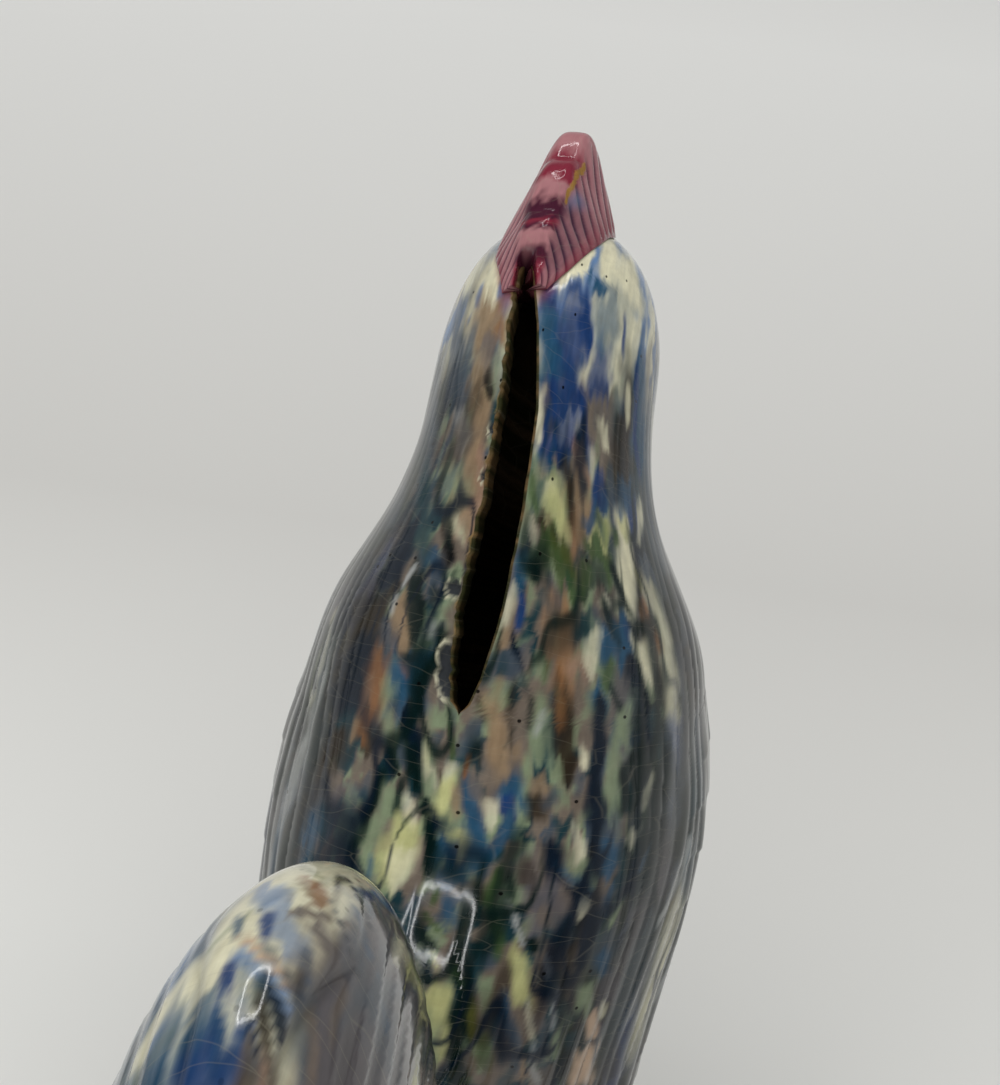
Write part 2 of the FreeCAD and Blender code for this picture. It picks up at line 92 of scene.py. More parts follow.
floor_painted_light.color_ramp.elements.remove(floor_painted_light.color_ramp.elements[-1])
floor_tree.links.new(floor_place.outputs["Object"], floor_split.inputs[0])
floor_tree.links.new(floor_split.outputs["Y"], floor_far.inputs["Value"])
floor_tree.links.new(floor_far.outputs[0], floor_painted_light.inputs["Fac"])
floor_tree.links.new(floor_painted_light.outputs["Color"], floor_bsdf.inputs["Base Color"])
floor_bsdf.inputs["Roughness"].default_value = 0.9
floor_bsdf.inputs["Specular IOR Level"].default_value = 0.1
floor.data.materials.append(floor_look)

world = bpy.data.worlds.new("room")
world.use_nodes = True
room = world.node_tree
room_ray = node_of(room, "ShaderNodeTexCoord")
room_split = node_of(room, "ShaderNodeSeparateXYZ")
room_ramp = node_of(room, "ShaderNodeValToRGB")
for at, level in ((0.0, 0.42), (0.26, 0.28), (0.46, 0.05), (0.999, 0.03)):
    stop = room_ramp.color_ramp.elements.new(at)
    stop.color = (level, level, 0.99 * level, 1)
room_ramp.color_ramp.elements.remove(room_ramp.color_ramp.elements[0])
room_ramp.color_ramp.elements.remove(room_ramp.color_ramp.elements[-1])
room.links.new(room_ray.outputs["Generated"], room_split.inputs[0])
room.links.new(room_split.outputs["Z"], room_ramp.inputs["Fac"])
room.links.new(room_ramp.outputs["Color"], room.nodes["Background"].inputs["Color"])
scene.world = world


def lamp(name, place, aim, size, power, glossy):
    """A square area lamp at a place, aimed at a point."""
    data = bpy.data.lights.new(name, "AREA")
    data.size = size
    data.energy = power
    made = bpy.data.objects.new(name, data)
    scene.collection.objects.link(made)
    made.location = place
    made.rotation_euler = (Vector(aim) - Vector(place)).to_track_quat("-Z", "Y").to_euler()
    made.visible_glossy = glossy
    made.visible_camera = False


lamp("overhead", (0.1, 0.2, 1.3), (0, 0, 0.1), 2.2, 28.0, False)

# Ring lamp overhead: a thin glowing tube bent to a rounded square. It gives no
# light here, and shows only as the small white outline that it leaves in wet-looking glaze.
ring_count, ring_outer, ring_inner = 64, 0.075, 0.068
ring_aim = Vector((0.0, 0.0, 0.12))
bend = np.linspace(0.0, 2.0 * np.pi, ring_count, endpoint=False)
tube_sides = [np.sign(w) * np.abs(w) ** 0.45 for w in (np.cos(bend), np.sin(bend))]
tube_line = np.stack(tube_sides + [bend * 0], -1)
tube_mesh = bpy.data.meshes.new("ring_lamp")
here = np.arange(ring_count)
after = np.roll(here, -1)
tube_mesh.from_pydata(np.concatenate([tube_line * ring_outer, tube_line * ring_inner]).tolist(), [],
                      np.stack([here, after, after + ring_count, here + ring_count], -1).tolist())
ring_lamp = bpy.data.objects.new("ring_lamp", tube_mesh)
scene.collection.objects.link(ring_lamp)
ring_lamp.location = (0.040, -0.140, 0.460)
ring_lamp.rotation_euler = (ring_aim - ring_lamp.location).to_track_quat("-Z", "Y").to_euler()
ring_lamp.visible_camera = ring_lamp.visible_diffuse = ring_lamp.visible_shadow = False
ring_look = bpy.data.materials.new("ring_glow")
ring_look.use_nodes = True
ring_bsdf = ring_look.node_tree.nodes["Principled BSDF"]
ring_bsdf.inputs["Emission Color"].default_value = (1.0, 1.0, 1.0, 1.0)
ring_bsdf.inputs["Emission Strength"].default_value = 16.0
tube_mesh.materials.append(ring_look)


# Body halves: thin earthenware pressed in two moulds and luted edge to edge down the back
# and the belly, with the coin slot cut through the nape along the joint while damp. The
# mould gives it long feather ridges, and the slot's left edge is chipped to the clay.
body_shares = np.array([
    (0.492, 0.900, 0.477, 0.818, 0.085), (0.454, 0.965, 0.438, 0.741, 0.179),
    (0.385, 1.000, 0.400, 0.677, 0.239), (0.308, 0.980, 0.377, 0.607, 0.256),
    (0.231, 0.910, 0.392, 0.527, 0.267), (0.154, 0.806, 0.431, 0.433, 0.320),
    (0.077, 0.687, 0.462, 0.313, 0.435), (0.000, 0.592, 0.462, 0.179, 0.487),
    (-0.092, 0.530, 0.400, 0.060, 0.500), (-0.192, 0.507, 0.262, 0.000, 0.468),
    (-0.292, 0.524, 0.077, 0.005, 0.420), (-0.385, 0.573, -0.123, 0.090, 0.370),
    (-0.446, 0.597, -0.323, 0.269, 0.250), (-0.492, 0.632, -0.431, 0.458, 0.095),
])
body_rows = body_shares * (130.0, 100.5, 130.0, 100.5, 56.5) + (0, 59.0, 0, 59.0, 0)
body_end = len(body_rows) - 1.0
wall = 4.5
dome = 0.3
dome_reach = 2.0


def curve(rows, t):
    """Natural cubic spline through the rows, one unit of t per row: each value is the
    straight blend of its two rows plus each row's bend times (share cubed less share)
    over six, the bends solved together from the rows' second differences."""
    n = len(rows)
    links = 4.0 * np.eye(n) + np.eye(n, k=1) + np.eye(n, k=-1)
    links[0], links[-1] = np.eye(n)[0], np.eye(n)[-1]
    jumps = np.zeros_like(rows)
    jumps[1:-1] = 6.0 * (rows[2:] - 2.0 * rows[1:-1] + rows[:-2])
    bend = np.linalg.solve(links, jumps)
    i = np.clip(np.floor(t).astype(int), 0, n - 2)
    u = (t - i)[..., None]
    low = 1.0 - u
    return low * rows[i] + u * rows[i + 1] + ((low**3 - low) * bend[i] + (u**3 - u) * bend[i + 1]) / 6.0


def two_rail(rows, t, turn):
    """Point of a form between a back edge and a belly edge: across, the half width times
    the sine of the turn; down, from back to belly by (1 + cos turn) / 2. Past either end
    the section shrinks to a dome, by the root of 1 less the square of how far past."""
    last = len(rows) - 1.0
    v = curve(rows, np.clip(t, 0.0, last))
    past = np.clip(np.maximum(-t, t - last) / dome, 0.0, 1.0)
    shrink = np.sqrt(1.0 - past**2)
    share = 0.5 + 0.5 * np.cos(turn) * shrink
    f = v[..., 2] + (v[..., 0] - v[..., 2]) * share
    z = v[..., 3] + (v[..., 1] - v[..., 3]) * share
    chord_f, chord_z = v[..., 0] - v[..., 2], v[..., 1] - v[..., 3]
    reach = dome_reach * past * np.where(t < 0, 1.0, -1.0) / np.hypot(chord_f, chord_z)
    x = v[..., 4] * np.sin(turn) * shrink
    return np.stack([x, -(f + chord_z * reach), z - chord_f * reach], -1)


def unit(v):
    """Directions of length 1: each vector over its own length."""
    return v / np.maximum(np.linalg.norm(v, axis=-1, keepdims=True), 1e-9)


def outward(place, t, turn, step=0.002):
    """Outward direction of a form: the cross product of its run lengthwise and its run
    round, each from two points a small step either side."""
    along = place(t + step, turn) - place(t - step, turn)
    round_ = place(t, turn + step) - place(t, turn - step)
    return unit(np.cross(round_, along))


def noise(x, y, seed=0.0):
    """Smooth value noise from -1 to 1: hashed values at whole-number places, blended by
    3s^2 - 2s^3 of the share s between them."""
    def value(i, j):
        """Hash of a place: the fraction of a large multiple of a sine, spread to -1 to 1."""
        h = np.sin(i * 127.1 + j * 311.7 + seed * 74.7) * 43758.5453
        return (h - np.floor(h)) * 2.0 - 1.0
    i, j = np.floor(x), np.floor(y)
    s, r = x - i, y - j
    s, r = s * s * (3.0 - 2.0 * s), r * r * (3.0 - 2.0 * r)
    top = value(i, j) * (1.0 - s) + value(i + 1, j) * s
    low = value(i, j + 1) * (1.0 - s) + value(i + 1, j + 1) * s
    return top * (1.0 - r) + low * r


def smooth(low, high, x):
    """0 below low, 1 above high, and 3s^2 - 2s^3 of the share s between them."""
    s = np.clip((x - low) / (high - low), 0.0, 1.0)
    return s * s * (3.0 - 2.0 * s)


arc_t = np.linspace(-dome, body_end + dome, 400)
arc_steps = np.linalg.norm(np.diff(two_rail(body_rows, arc_t, arc_t * 0), axis=0), axis=-1)
arc_mm = np.concatenate([[0.0], np.cumsum(arc_steps)])
body_round = 24.0


def body_uv(t, turn):
    """Millimetres on the skin: across, the turn times one mean radius; along, the run
    down the back line."""
    return turn * body_round, np.interp(t, arc_t, arc_mm)


def body_skin(t, turn):
    """Bare skin of the bird in mm: the two-rail form of the body's rows."""
    return two_rail(body_rows, t, turn)


def feather_ridges(t, turn):
    """Height of the moulded plumage, 0 in a groove to 1 on a ridge: the bent sine of the
    place across over the ridge spacing, its lines wandering by slow noise."""
    u, v = body_uv(t, turn)
    wander = 0.8 * noise(u / 9.0, v / 26.0, 1) + 0.5 * noise(u / 4.0, v / 16.0, 2)
    phase = u / 2.5 + wander
    ridge = np.abs(np.sin(np.pi * phase)) ** 0.75
    return ridge * (0.6 + 0.4 * noise(u / 2.6, v / 13.0, 3))


def body_relief(t, turn):
    """Lift of the glazed skin in mm: the plumage ridges, strong on the flanks and rump
    and faint down the back, with a slow unevenness of pressed clay; nothing at the ends."""
    u, v = body_uv(t, turn)
    side = np.abs(turn)
    flank = smooth(0.55, 1.3, side) * (1.0 - smooth(2.6, 3.0, side))
    low_down = smooth(4.5, 8.5, t)
    strength = 0.03 + 0.34 * flank * low_down + 0.22 * smooth(8.0, 10.5, t) * (1.0 - flank)
    swell = 0.28 * noise(u / 11.0, v / 17.0, 4) + 0.10 * noise(u / 4.5, v / 8.0, 5)
    ends = smooth(-0.2, 0.5, t) * (1.0 - smooth(12.4, 13.1, t))
    plumage = strength * (feather_ridges(t, turn) - 0.5)
    return ends * (plumage + swell * (0.4 + 0.6 * smooth(1.5, 4.0, t)))


def body_outer(t, turn):
    """Glazed skin of the bird: the bare skin moved out by its relief."""
    return body_skin(t, turn) + outward(body_skin, t, turn) * body_relief(t, turn)[..., None]


# the slot: run along it from its upper end, half width, and shift to the bird's left, mm
slot_rows = np.array([
    (0.00, 0.12, 1.00), (0.16, 0.34, 0.70), (0.34, 0.47, 0.43), (0.55, 0.49, 0.39),
    (0.78, 0.52, 0.60), (0.93, 0.36, 0.72), (1.00, 0.14, 0.75),
]) * (55.0, 4.8, 3.6)
slot_first, slot_last = 2.72, 6.72
rim_round = 0.4


def slot_lines(t):
    """Half width and shift of the slot at a station, in mm, and how open it is: the rows
    read by the run along the back, closing over the last millimetre at either end."""
    run = np.interp(t, arc_t, arc_mm)
    first, last = np.interp([slot_first, slot_last], arc_t, arc_mm)
    along = (run - first) / (last - first) * slot_rows[-1, 0]
    half = np.interp(along, slot_rows[:, 0], slot_rows[:, 1])
    shift = np.interp(along, slot_rows[:, 0], slot_rows[:, 2])
    slot_run = slot_rows[-1, 0]
    open_ = smooth(-0.8, 0.6, along) * (1.0 - smooth(slot_run - 0.6, slot_run + 0.8, along))
    near = smooth(-16.0, 0.0, along) * (1.0 - smooth(slot_run, slot_run + 16.0, along))
    return half * open_, shift * near, open_


def closed_mesh(name, points, normals, uv, colours):
    """Object from a grid of points in mm whose columns close on themselves and whose rows
    end in poles. Points that fall together are welded, and quads with two such corners
    become triangles or go. The faces are turned round if the sum of their corners' triple
    products, six times the volume inside, is negative."""
    rows, cols = points.shape[:2]
    flat = points.reshape(-1, 3) * 0.001
    _, first, same = np.unique(np.round(flat, 7), axis=0, return_index=True, return_inverse=True)
    same = same.reshape(-1)
    i, j = np.meshgrid(np.arange(rows - 1), np.arange(cols), indexing="ij")
    k = (j + 1) % cols
    corner_four = [i * cols + j, i * cols + k, (i + 1) * cols + k, (i + 1) * cols + j]
    quads = np.stack(corner_four, -1).reshape(-1, 4)
    welded = same[quads]
    keep = welded != np.roll(welded, 1, axis=1)
    sides = keep.sum(axis=1)
    opposite = (welded[:, 0] == welded[:, 2]) | (welded[:, 1] == welded[:, 3])
    good = (sides >= 3) & ~opposite
    quads, welded, keep, sides = quads[good], welded[good], keep[good], sides[good]
    corners, loops = quads[keep], welded[keep]
    starts = np.concatenate([[0], np.cumsum(sides)[:-1]])
    verts = flat[first]
    a, b, c = (verts[loops[starts + n]] for n in range(3))
    if np.einsum("ij,ij->i", a, np.cross(b, c)).sum() < 0:
        order = np.concatenate([s + np.arange(n)[::-1] for s, n in zip(starts, sides)])
        corners, loops = corners[order], loops[order]
    mesh = bpy.data.meshes.new(name)
    mesh.vertices.add(len(verts))
    mesh.vertices.foreach_set("co", verts.ravel())
    mesh.loops.add(len(loops))
    mesh.loops.foreach_set("vertex_index", loops.astype(np.int32))
    mesh.polygons.add(len(sides))
    mesh.polygons.foreach_set("loop_start", starts.astype(np.int32))
    mesh.polygons.foreach_set("loop_total", sides.astype(np.int32))
    mesh.update(calc_edges=True)
    mesh.validate()
    layer = mesh.uv_layers.new(name="skin_mm")
    layer.data.foreach_set("uv", uv.reshape(-1, 2)[corners].ravel())
    for key, values in colours.items():
        attribute = mesh.attributes.new(key, "FLOAT_COLOR", "POINT")
        attribute.data.foreach_set("color", values.reshape(-1, 4)[first].ravel())
    mesh.polygons.foreach_set("use_smooth", np.ones(len(sides), bool))
    mesh.normals_split_custom_set_from_vertices(unit(normals.reshape(-1, 3))[first])
    made = bpy.data.objects.new(name, mesh)
    scene.collection.objects.link(made)
    return made


# glaze colours, as they look in plain light
glazes = {
    "cream": (200, 196, 168), "tan": (126, 106, 82), "taupe": (102, 92, 82),
    "blush": (136, 108, 90), "salmon": (128, 98, 72), "umber": (58, 48, 36),
    "coal": (24, 26, 28), "cobalt": (26, 56, 104), "sky": (92, 118, 152),
    "azure": (32, 74, 102), "navy": (6, 30, 50), "teal": (30, 62, 70),
    "bottle": (6, 36, 34), "green": (62, 84, 46), "sage": (112, 124, 98),
    "olive": (78, 80, 34), "yellow": (168, 168, 116), "slate": (66, 76, 86),
    "mist": (146, 148, 146), "peach": (176, 152, 128), "mauve": (88, 84, 86),
    "crimson": (128, 44, 60), "maroon": (72, 30, 48), "pink": (168, 116, 120),
    "ochre": (150, 112, 52), "clay": (150, 118, 74), "rust": (124, 84, 50), "shade": (44, 58, 50),
}
# brush marks seen on the bird: glaze, station, degrees of turn, length and width in mm,
# slant (mm across per mm along), strength
body_dabs = [
    ("slate", 6.34, 71, 10.0, 5.7, 0.31, 0.80), ("mauve", 6.19, 63, 9.9, 5.7, 0.25, 0.60),
    ("slate", 7.72, 48, 9.4, 5.4, 0.62, 0.70), ("mauve", 8.20, 62, 5.6, 5.7, 0.82, 0.60),
    ("navy", 5.75, 40, 2.5, 2.7, 0.10, 0.90), ("bottle", 5.82, 34, 3.4, 2.6, -0.40, 0.70),
    ("umber", 6.21, 38, 7.0, 4.7, 0.07, 0.85), ("navy", 6.12, 46, 3.1, 3.2, 0.24, 0.95),
    ("olive", 6.43, 47, 3.0, 2.8, 0.45, 0.50), ("bottle", 6.75, 63, 5.7, 4.9, 0.10, 0.60),
    ("slate", 6.70, 56, 5.5, 4.9, 0.15, 0.50), ("bottle", 7.03, 76, 4.1, 4.1, 0.15, 0.50),
    ("navy", 7.38, 67, 2.5, 4.9, -1.20, 0.70), ("navy", 6.68, 40, 6.6, 5.0, 0.24, 0.85),
    ("coal", 6.94, 46, 5.1, 3.8, 0.00, 0.70), ("coal", 6.90, 38, 2.5, 2.2, 0.66, 0.60),
    ("mauve", 6.36, 30, 3.1, 2.7, 0.08, 0.60), ("slate", 6.27, 32, 2.5, 1.7, 0.00, 0.60),
    ("mist", 7.10, 53, 10.5, 2.4, 0.20, 0.50), ("mist", 7.87, 56, 9.8, 3.1, 0.16, 0.50),
    ("tan", 6.10, 27, 5.6, 2.6, -0.21, 0.85), ("bottle", 5.90, 25, 6.7, 1.9, -0.23, 0.95),
    ("rust", 6.71, 31, 4.9, 3.9, 0.05, 0.85), ("salmon", 6.81, 34, 2.7, 2.3, 0.10, 0.60),
    ("umber", 7.40, 40, 4.3, 6.4, 0.67, 0.90), ("umber", 7.05, 30, 3.0, 3.9, -0.09, 0.90),
    ("rust", 7.05, 32, 2.5, 2.2, -0.18, 0.60), ("tan", 7.10, 34, 2.5, 1.1, -0.15, 0.60),
    ("umber", 7.76, 44, 6.1, 5.7, 0.24, 0.85), ("coal", 8.11, 47, 4.6, 4.0, 0.33, 0.80),
    ("umber", 8.44, 45, 2.5, 3.2, 0.38, 0.60), ("sage", 6.99, 24, 3.0, 1.5, -0.09, 0.60),
    ("azure", 6.62, 20, 4.8, 4.6, -0.26, 0.90), ("navy", 6.92, 19, 2.5, 2.3, -0.62, 0.95),
    ("bottle", 7.20, 15, 4.8, 2.2, -0.26, 0.97), ("navy", 7.23, 21, 2.8, 1.8, -0.19, 0.90),
    ("slate", 7.20, 18, 2.5, 1.3, -0.40, 0.80), ("bottle", 7.64, 23, 6.8, 1.8, 0.12, 0.97),
    ("bottle", 8.09, 26, 4.8, 2.2, 0.06, 0.97), ("slate", 7.66, 27, 3.3, 2.6, 0.08, 0.60),
    ("mauve", 7.74, 32, 2.5, 4.4, 0.00, 0.60), ("slate", 7.94, 32, 2.5, 4.1, 0.88, 0.50),
    ("teal", 8.22, 30, 2.5, 2.1, -0.14, 0.50), ("sage", 7.72, 20, 5.8, 1.7, -0.09, 0.60),
    ("bottle", 7.61, 16, 5.3, 1.4, -0.14, 0.85), ("yellow", 8.00, 18, 2.5, 1.4, 0.00, 0.54),
    ("azure", 8.20, 20, 2.5, 1.1, 0.00, 0.60), ("cream", 7.64, 13, 2.5, 1.6, -0.29, 0.54),
    ("yellow", 8.00, 13, 7.3, 3.4, 0.14, 0.95), ("cream", 8.16, 12, 4.2, 2.6, -0.06, 0.60),
    ("bottle", 7.55, 10, 3.0, 1.3, -0.66, 0.97), ("bottle", 7.94, 6, 7.8, 1.1, -0.16, 0.97),
    ("sage", 7.16, 11, 2.5, 1.5, -0.29, 0.70), ("cream", 7.29, 10, 2.5, 1.0, -0.43, 0.41),
    ("slate", 5.08, 60, 4.2, 5.7, -1.07, 0.60), ("teal", 5.21, 37, 5.4, 3.4, -0.33, 0.70),
    ("navy", 5.37, 39, 5.8, 3.5, -0.11, 0.85), ("azure", 5.47, 25, 2.5, 3.1, -0.25, 0.80),
    ("sage", 5.30, 31, 2.5, 2.2, -0.11, 0.60), ("tan", 5.08, 22, 2.5, 4.0, -1.05, 0.85),
    ("blush", 5.21, 18, 3.8, 2.2, -0.14, 0.75), ("navy", 5.60, 39, 2.9, 3.1, -0.23, 0.95),
    ("umber", 5.21, 25, 2.5, 0.7, -0.27, 0.70), ("sage", 5.23, 20, 2.5, 1.3, -0.31, 0.60),
    ("coal", 5.43, 20, 3.8, 1.5, -0.55, 0.97), ("bottle", 5.82, 26, 7.9, 2.2, -0.25, 0.95),
    ("slate", 5.69, 20, 4.3, 2.3, 0.00, 0.60), ("bottle", 5.77, 18, 2.5, 2.0, 0.36, 0.60),
    ("umber", 5.82, 34, 2.5, 2.0, 0.11, 0.80), ("tan", 6.08, 28, 4.6, 2.6, -0.30, 0.85),
    ("mist", 5.69, 30, 2.6, 0.7, 0.25, 0.90), ("mist", 5.97, 32, 3.0, 1.1, 0.00, 0.75),
    ("bottle", 6.12, 24, 4.3, 1.6, -0.38, 0.85), ("sage", 6.04, 20, 3.0, 2.0, -0.22, 0.50),
    ("mist", 6.10, 18, 2.5, 1.2, 0.00, 0.50), ("azure", 6.47, 23, 3.8, 4.8, -0.06, 0.85),
    ("azure", 6.53, 17, 4.3, 2.4, -0.17, 0.70), ("rust", 6.47, 23, 2.5, 1.3, -0.72, 0.40),
    ("bottle", 6.30, 15, 5.5, 1.9, 0.08, 0.97), ("bottle", 6.66, 16, 5.0, 1.9, 0.05, 0.85),
    ("navy", 6.92, 20, 2.7, 2.0, -0.73, 0.95), ("bottle", 7.20, 20, 2.8, 1.5, -0.18, 0.80),
    ("navy", 7.10, 15, 3.8, 1.6, -0.26, 0.85), ("slate", 7.18, 18, 2.5, 1.0, -0.30, 0.70),
    ("sage", 6.84, 12, 3.2, 1.4, -0.07, 0.60), ("yellow", 7.14, 12, 2.5, 1.0, -0.12, 0.41),
    ("slate", 7.01, 2, 3.5, 2.5, -0.21, 0.75), ("green", 7.03, 6, 3.8, 0.7, -0.19, 0.75),
    ("taupe", 7.09, 8, 2.8, 0.9, -0.18, 0.50), ("sage", 4.97, -6, 2.9, 1.9, -0.22, 0.85),
    ("bottle", 5.02, -9, 3.5, 0.8, -0.19, 0.60), ("tan", 5.08, -4, 2.5, 0.8, 0.09, 0.60),
    ("slate", 5.30, -5, 2.9, 1.9, 0.06, 0.75), ("cream", 5.21, -8, 2.5, 0.9, -0.15, 0.41),
    ("umber", 5.19, -12, 2.9, 1.1, -0.41, 0.85), ("azure", 5.54, -4, 5.0, 1.9, 0.04, 0.85),
    ("bottle", 5.58, -9, 3.5, 1.2, -0.16, 0.95), ("cobalt", 5.86, -6, 3.7, 1.0, -0.17, 0.97),
    ("navy", 6.16, -6, 4.0, 0.9, -0.22, 0.95), ("navy", 6.42, -9, 2.8, 0.8, -0.41, 0.60),
    ("cream", 5.82, -1, 3.4, 1.8, 0.00, 0.65), ("tan", 6.06, -2, 3.3, 1.9, 0.00, 0.80),
    ("cream", 4.89, -13, 2.5, 1.3, -0.11, 0.48), ("yellow", 5.06, -15, 4.3, 1.9, -0.23, 0.65),
    ("umber", 4.87, -20, 2.5, 0.9, 0.17, 0.70), ("tan", 4.87, -25, 2.5, 2.0, -0.20, 0.85),
    ("salmon", 5.13, -23, 5.2, 2.6, 0.03, 0.90), ("green", 5.32, -16, 2.5, 2.7, -0.31, 0.85),
    ("green", 5.47, -16, 3.5, 5.1, -0.38, 0.80), ("olive", 5.36, -19, 2.5, 1.6, -0.51, 0.50),
    ("sage", 5.60, -14, 2.5, 2.4, 0.00, 0.60), ("azure", 4.93, -34, 3.8, 3.2, -0.05, 0.85),
    ("cobalt", 5.04, -30, 2.5, 1.3, 0.18, 0.80), ("navy", 4.80, -38, 2.5, 1.2, -0.58, 0.60),
    ("slate", 4.80, -40, 3.1, 1.6, 0.23, 0.60), ("cobalt", 4.84, -51, 4.1, 3.7, -0.24, 0.85),
    ("cream", 4.85, -58, 2.7, 1.7, 0.30, 0.48), ("navy", 5.08, -52, 5.1, 1.2, 0.20, 0.80),
    ("yellow", 5.11, -34, 2.8, 2.4, 0.13, 0.95), ("cream", 5.26, -44, 10.2, 3.3, 0.16, 0.95),
    ("yellow", 5.02, -46, 2.5, 1.9, -0.12, 0.34), ("green", 5.17, -40, 2.5, 1.1, 0.00, 0.80),
    ("green", 5.30, -32, 2.5, 3.3, -0.13, 0.85), ("bottle", 5.47, -29, 2.6, 3.6, 0.08, 0.70),
    ("green", 5.49, -26, 2.5, 1.5, 0.14, 0.60), ("bottle", 5.51, -38, 4.6, 1.5, -0.46, 0.97),
    ("cream", 5.65, -34, 2.5, 1.6, 0.45, 0.54), ("olive", 5.51, -50, 2.5, 1.6, -0.34, 0.60),
    ("slate", 4.84, -70, 8.3, 5.7, 0.08, 0.85), ("slate", 5.36, -56, 3.9, 2.9, -0.40, 0.85),
    ("teal", 5.86, -26, 4.2, 2.7, 0.05, 0.90), ("slate", 5.84, -30, 2.5, 0.9, -0.23, 0.60),
    ("bottle", 5.82, -34, 4.8, 1.3, -0.23, 0.90), ("azure", 6.08, -32, 3.7, 1.9, 0.06, 0.95),
    ("azure", 5.97, -38, 6.3, 3.2, 0.08, 0.97), ("cobalt", 5.90, -40, 2.5, 1.9, 0.00, 0.40),
    ("rust", 5.82, -50, 4.7, 2.0, -0.31, 0.80), ("umber", 5.71, -48, 3.1, 1.1, -0.23, 0.70),
    ("cream", 6.12, -45, 6.6, 2.6, -0.11, 0.95), ("taupe", 5.77, -14, 3.4, 1.5, -0.06, 0.70),
    ("slate", 5.67, -16, 2.5, 1.3, -0.44, 0.50), ("salmon", 6.08, -20, 9.7, 3.2, -0.02, 0.97),
    ("salmon", 6.03, -15, 3.0, 2.4, -0.07, 0.70), ("blush", 6.23, -24, 2.6, 2.1, 0.18, 0.75),
    ("cream", 6.08, -28, 3.5, 1.7, 0.20, 0.61), ("rust", 6.34, -19, 2.5, 0.9, -0.10, 0.60),
    ("umber", 6.73, -20, 8.2, 2.4, -0.09, 0.90), ("rust", 6.58, -19, 3.0, 1.1, 0.00, 0.50),
    ("sage", 6.27, -12, 2.5, 2.1, 0.10, 0.80), ("green", 6.25, -14, 2.5, 0.9, 0.00, 0.50),
    ("slate", 6.38, 0, 3.9, 1.9, 0.06, 0.75), ("slate", 6.40, -6, 3.6, 1.7, -0.32, 0.75),
    ("tan", 6.81, -4, 6.7, 2.3, -0.18, 0.95), ("umber", 6.77, -8, 6.0, 1.1, -0.16, 0.60),
    ("taupe", 6.83, -10, 4.0, 1.3, -0.06, 0.70), ("umber", 6.70, 0, 2.5, 0.8, -0.21, 0.60),
    ("sage", 6.75, -15, 6.2, 1.9, -0.12, 0.90), ("mist", 6.77, -15, 2.5, 1.0, 0.00, 0.50),
    ("bottle", 6.70, -12, 3.3, 0.7, -0.15, 0.60), ("azure", 6.47, -29, 4.0, 2.3, -0.12, 0.95),
    ("navy", 6.79, -30, 6.7, 2.2, -0.12, 0.97), ("green", 6.34, -33, 3.1, 2.2, 0.08, 0.75),
    ("bottle", 6.51, -35, 2.5, 1.1, -0.31, 0.70), ("sage", 6.70, -37, 3.4, 2.4, 0.00, 0.90),
    ("bottle", 6.71, -42, 3.4, 1.5, -0.16, 0.60), ("navy", 6.32, -42, 3.3, 3.0, -0.31, 0.97),
    ("navy", 6.70, -46, 6.3, 1.6, -0.22, 0.97), ("sage", 6.45, -48, 2.5, 1.9, -0.62, 0.60),
    ("teal", 6.79, -49, 4.4, 2.3, -0.13, 0.70), ("bottle", 6.96, -41, 2.5, 1.6, -0.23, 0.80),
    ("cream", 6.96, -26, 2.5, 1.1, 0.00, 0.48), ("mauve", 8.13, -54, 17.5, 8.4, -0.07, 0.80),
    ("mauve", 9.13, -56, 11.7, 7.8, -0.03, 0.80), ("slate", 7.40, -59, 9.2, 4.6, 0.10, 0.70),
    ("mist", 8.16, -67, 7.0, 2.4, 0.34, 0.70), ("mist", 8.50, -64, 6.1, 1.8, 0.70, 0.70),
    ("mist", 9.28, -64, 10.8, 1.4, 0.09, 0.60), ("mist", 9.30, -79, 12.0, 1.9, 0.33, 0.60),
    ("bottle", 7.27, 15, 4.3, 1.7, -0.18, 0.80), ("cream", 7.18, 12, 2.8, 0.8, -0.18, 0.34),
    ("sage", 7.35, 10, 2.5, 1.4, -0.25, 0.80), ("cream", 7.29, 5, 2.5, 1.4, 0.00, 0.48),
    ("umber", 7.36, 7, 3.0, 0.7, -0.41, 0.60), ("bottle", 7.63, 10, 2.5, 1.3, -1.13, 0.97),
    ("bottle", 7.94, 6, 7.3, 1.3, -0.14, 0.95), ("yellow", 7.81, 11, 3.5, 1.6, -0.21, 0.61),
    ("yellow", 7.51, 5, 3.8, 2.2, 0.07, 0.90), ("tan", 7.51, 2, 2.5, 1.2, -0.22, 0.70),
    ("yellow", 7.87, -1, 3.0, 2.5, -0.49, 0.95), ("azure", 7.96, 2, 3.0, 1.5, -0.25, 0.95),
    ("azure", 7.51, -2, 5.6, 1.7, -0.27, 0.90), ("azure", 8.15, -0, 2.5, 3.0, -0.12, 0.90),
    ("azure", 7.87, -4, 5.3, 3.0, -0.14, 0.90), ("azure", 7.40, -10, 3.5, 3.1, -0.49, 0.90),
    ("cobalt", 7.53, -10, 2.5, 1.4, -0.30, 0.90), ("azure", 7.79, -10, 2.8, 3.1, 0.18, 0.75),
    ("slate", 7.12, 0, 2.5, 2.1, 0.19, 0.50), ("taupe", 7.35, -2, 2.8, 1.3, -0.26, 0.70),
    ("rust", 7.23, 1, 2.5, 0.7, 0.00, 0.95), ("cream", 7.48, -6, 2.5, 1.7, -0.24, 0.58),
    ("tan", 7.09, -6, 2.8, 1.8, -0.18, 0.80), ("tan", 7.05, -10, 2.5, 1.3, -0.10, 0.60),
    ("taupe", 7.20, -10, 2.5, 1.3, -0.68, 0.50), ("sage", 6.99, -16, 2.5, 1.6, 0.00, 0.70),
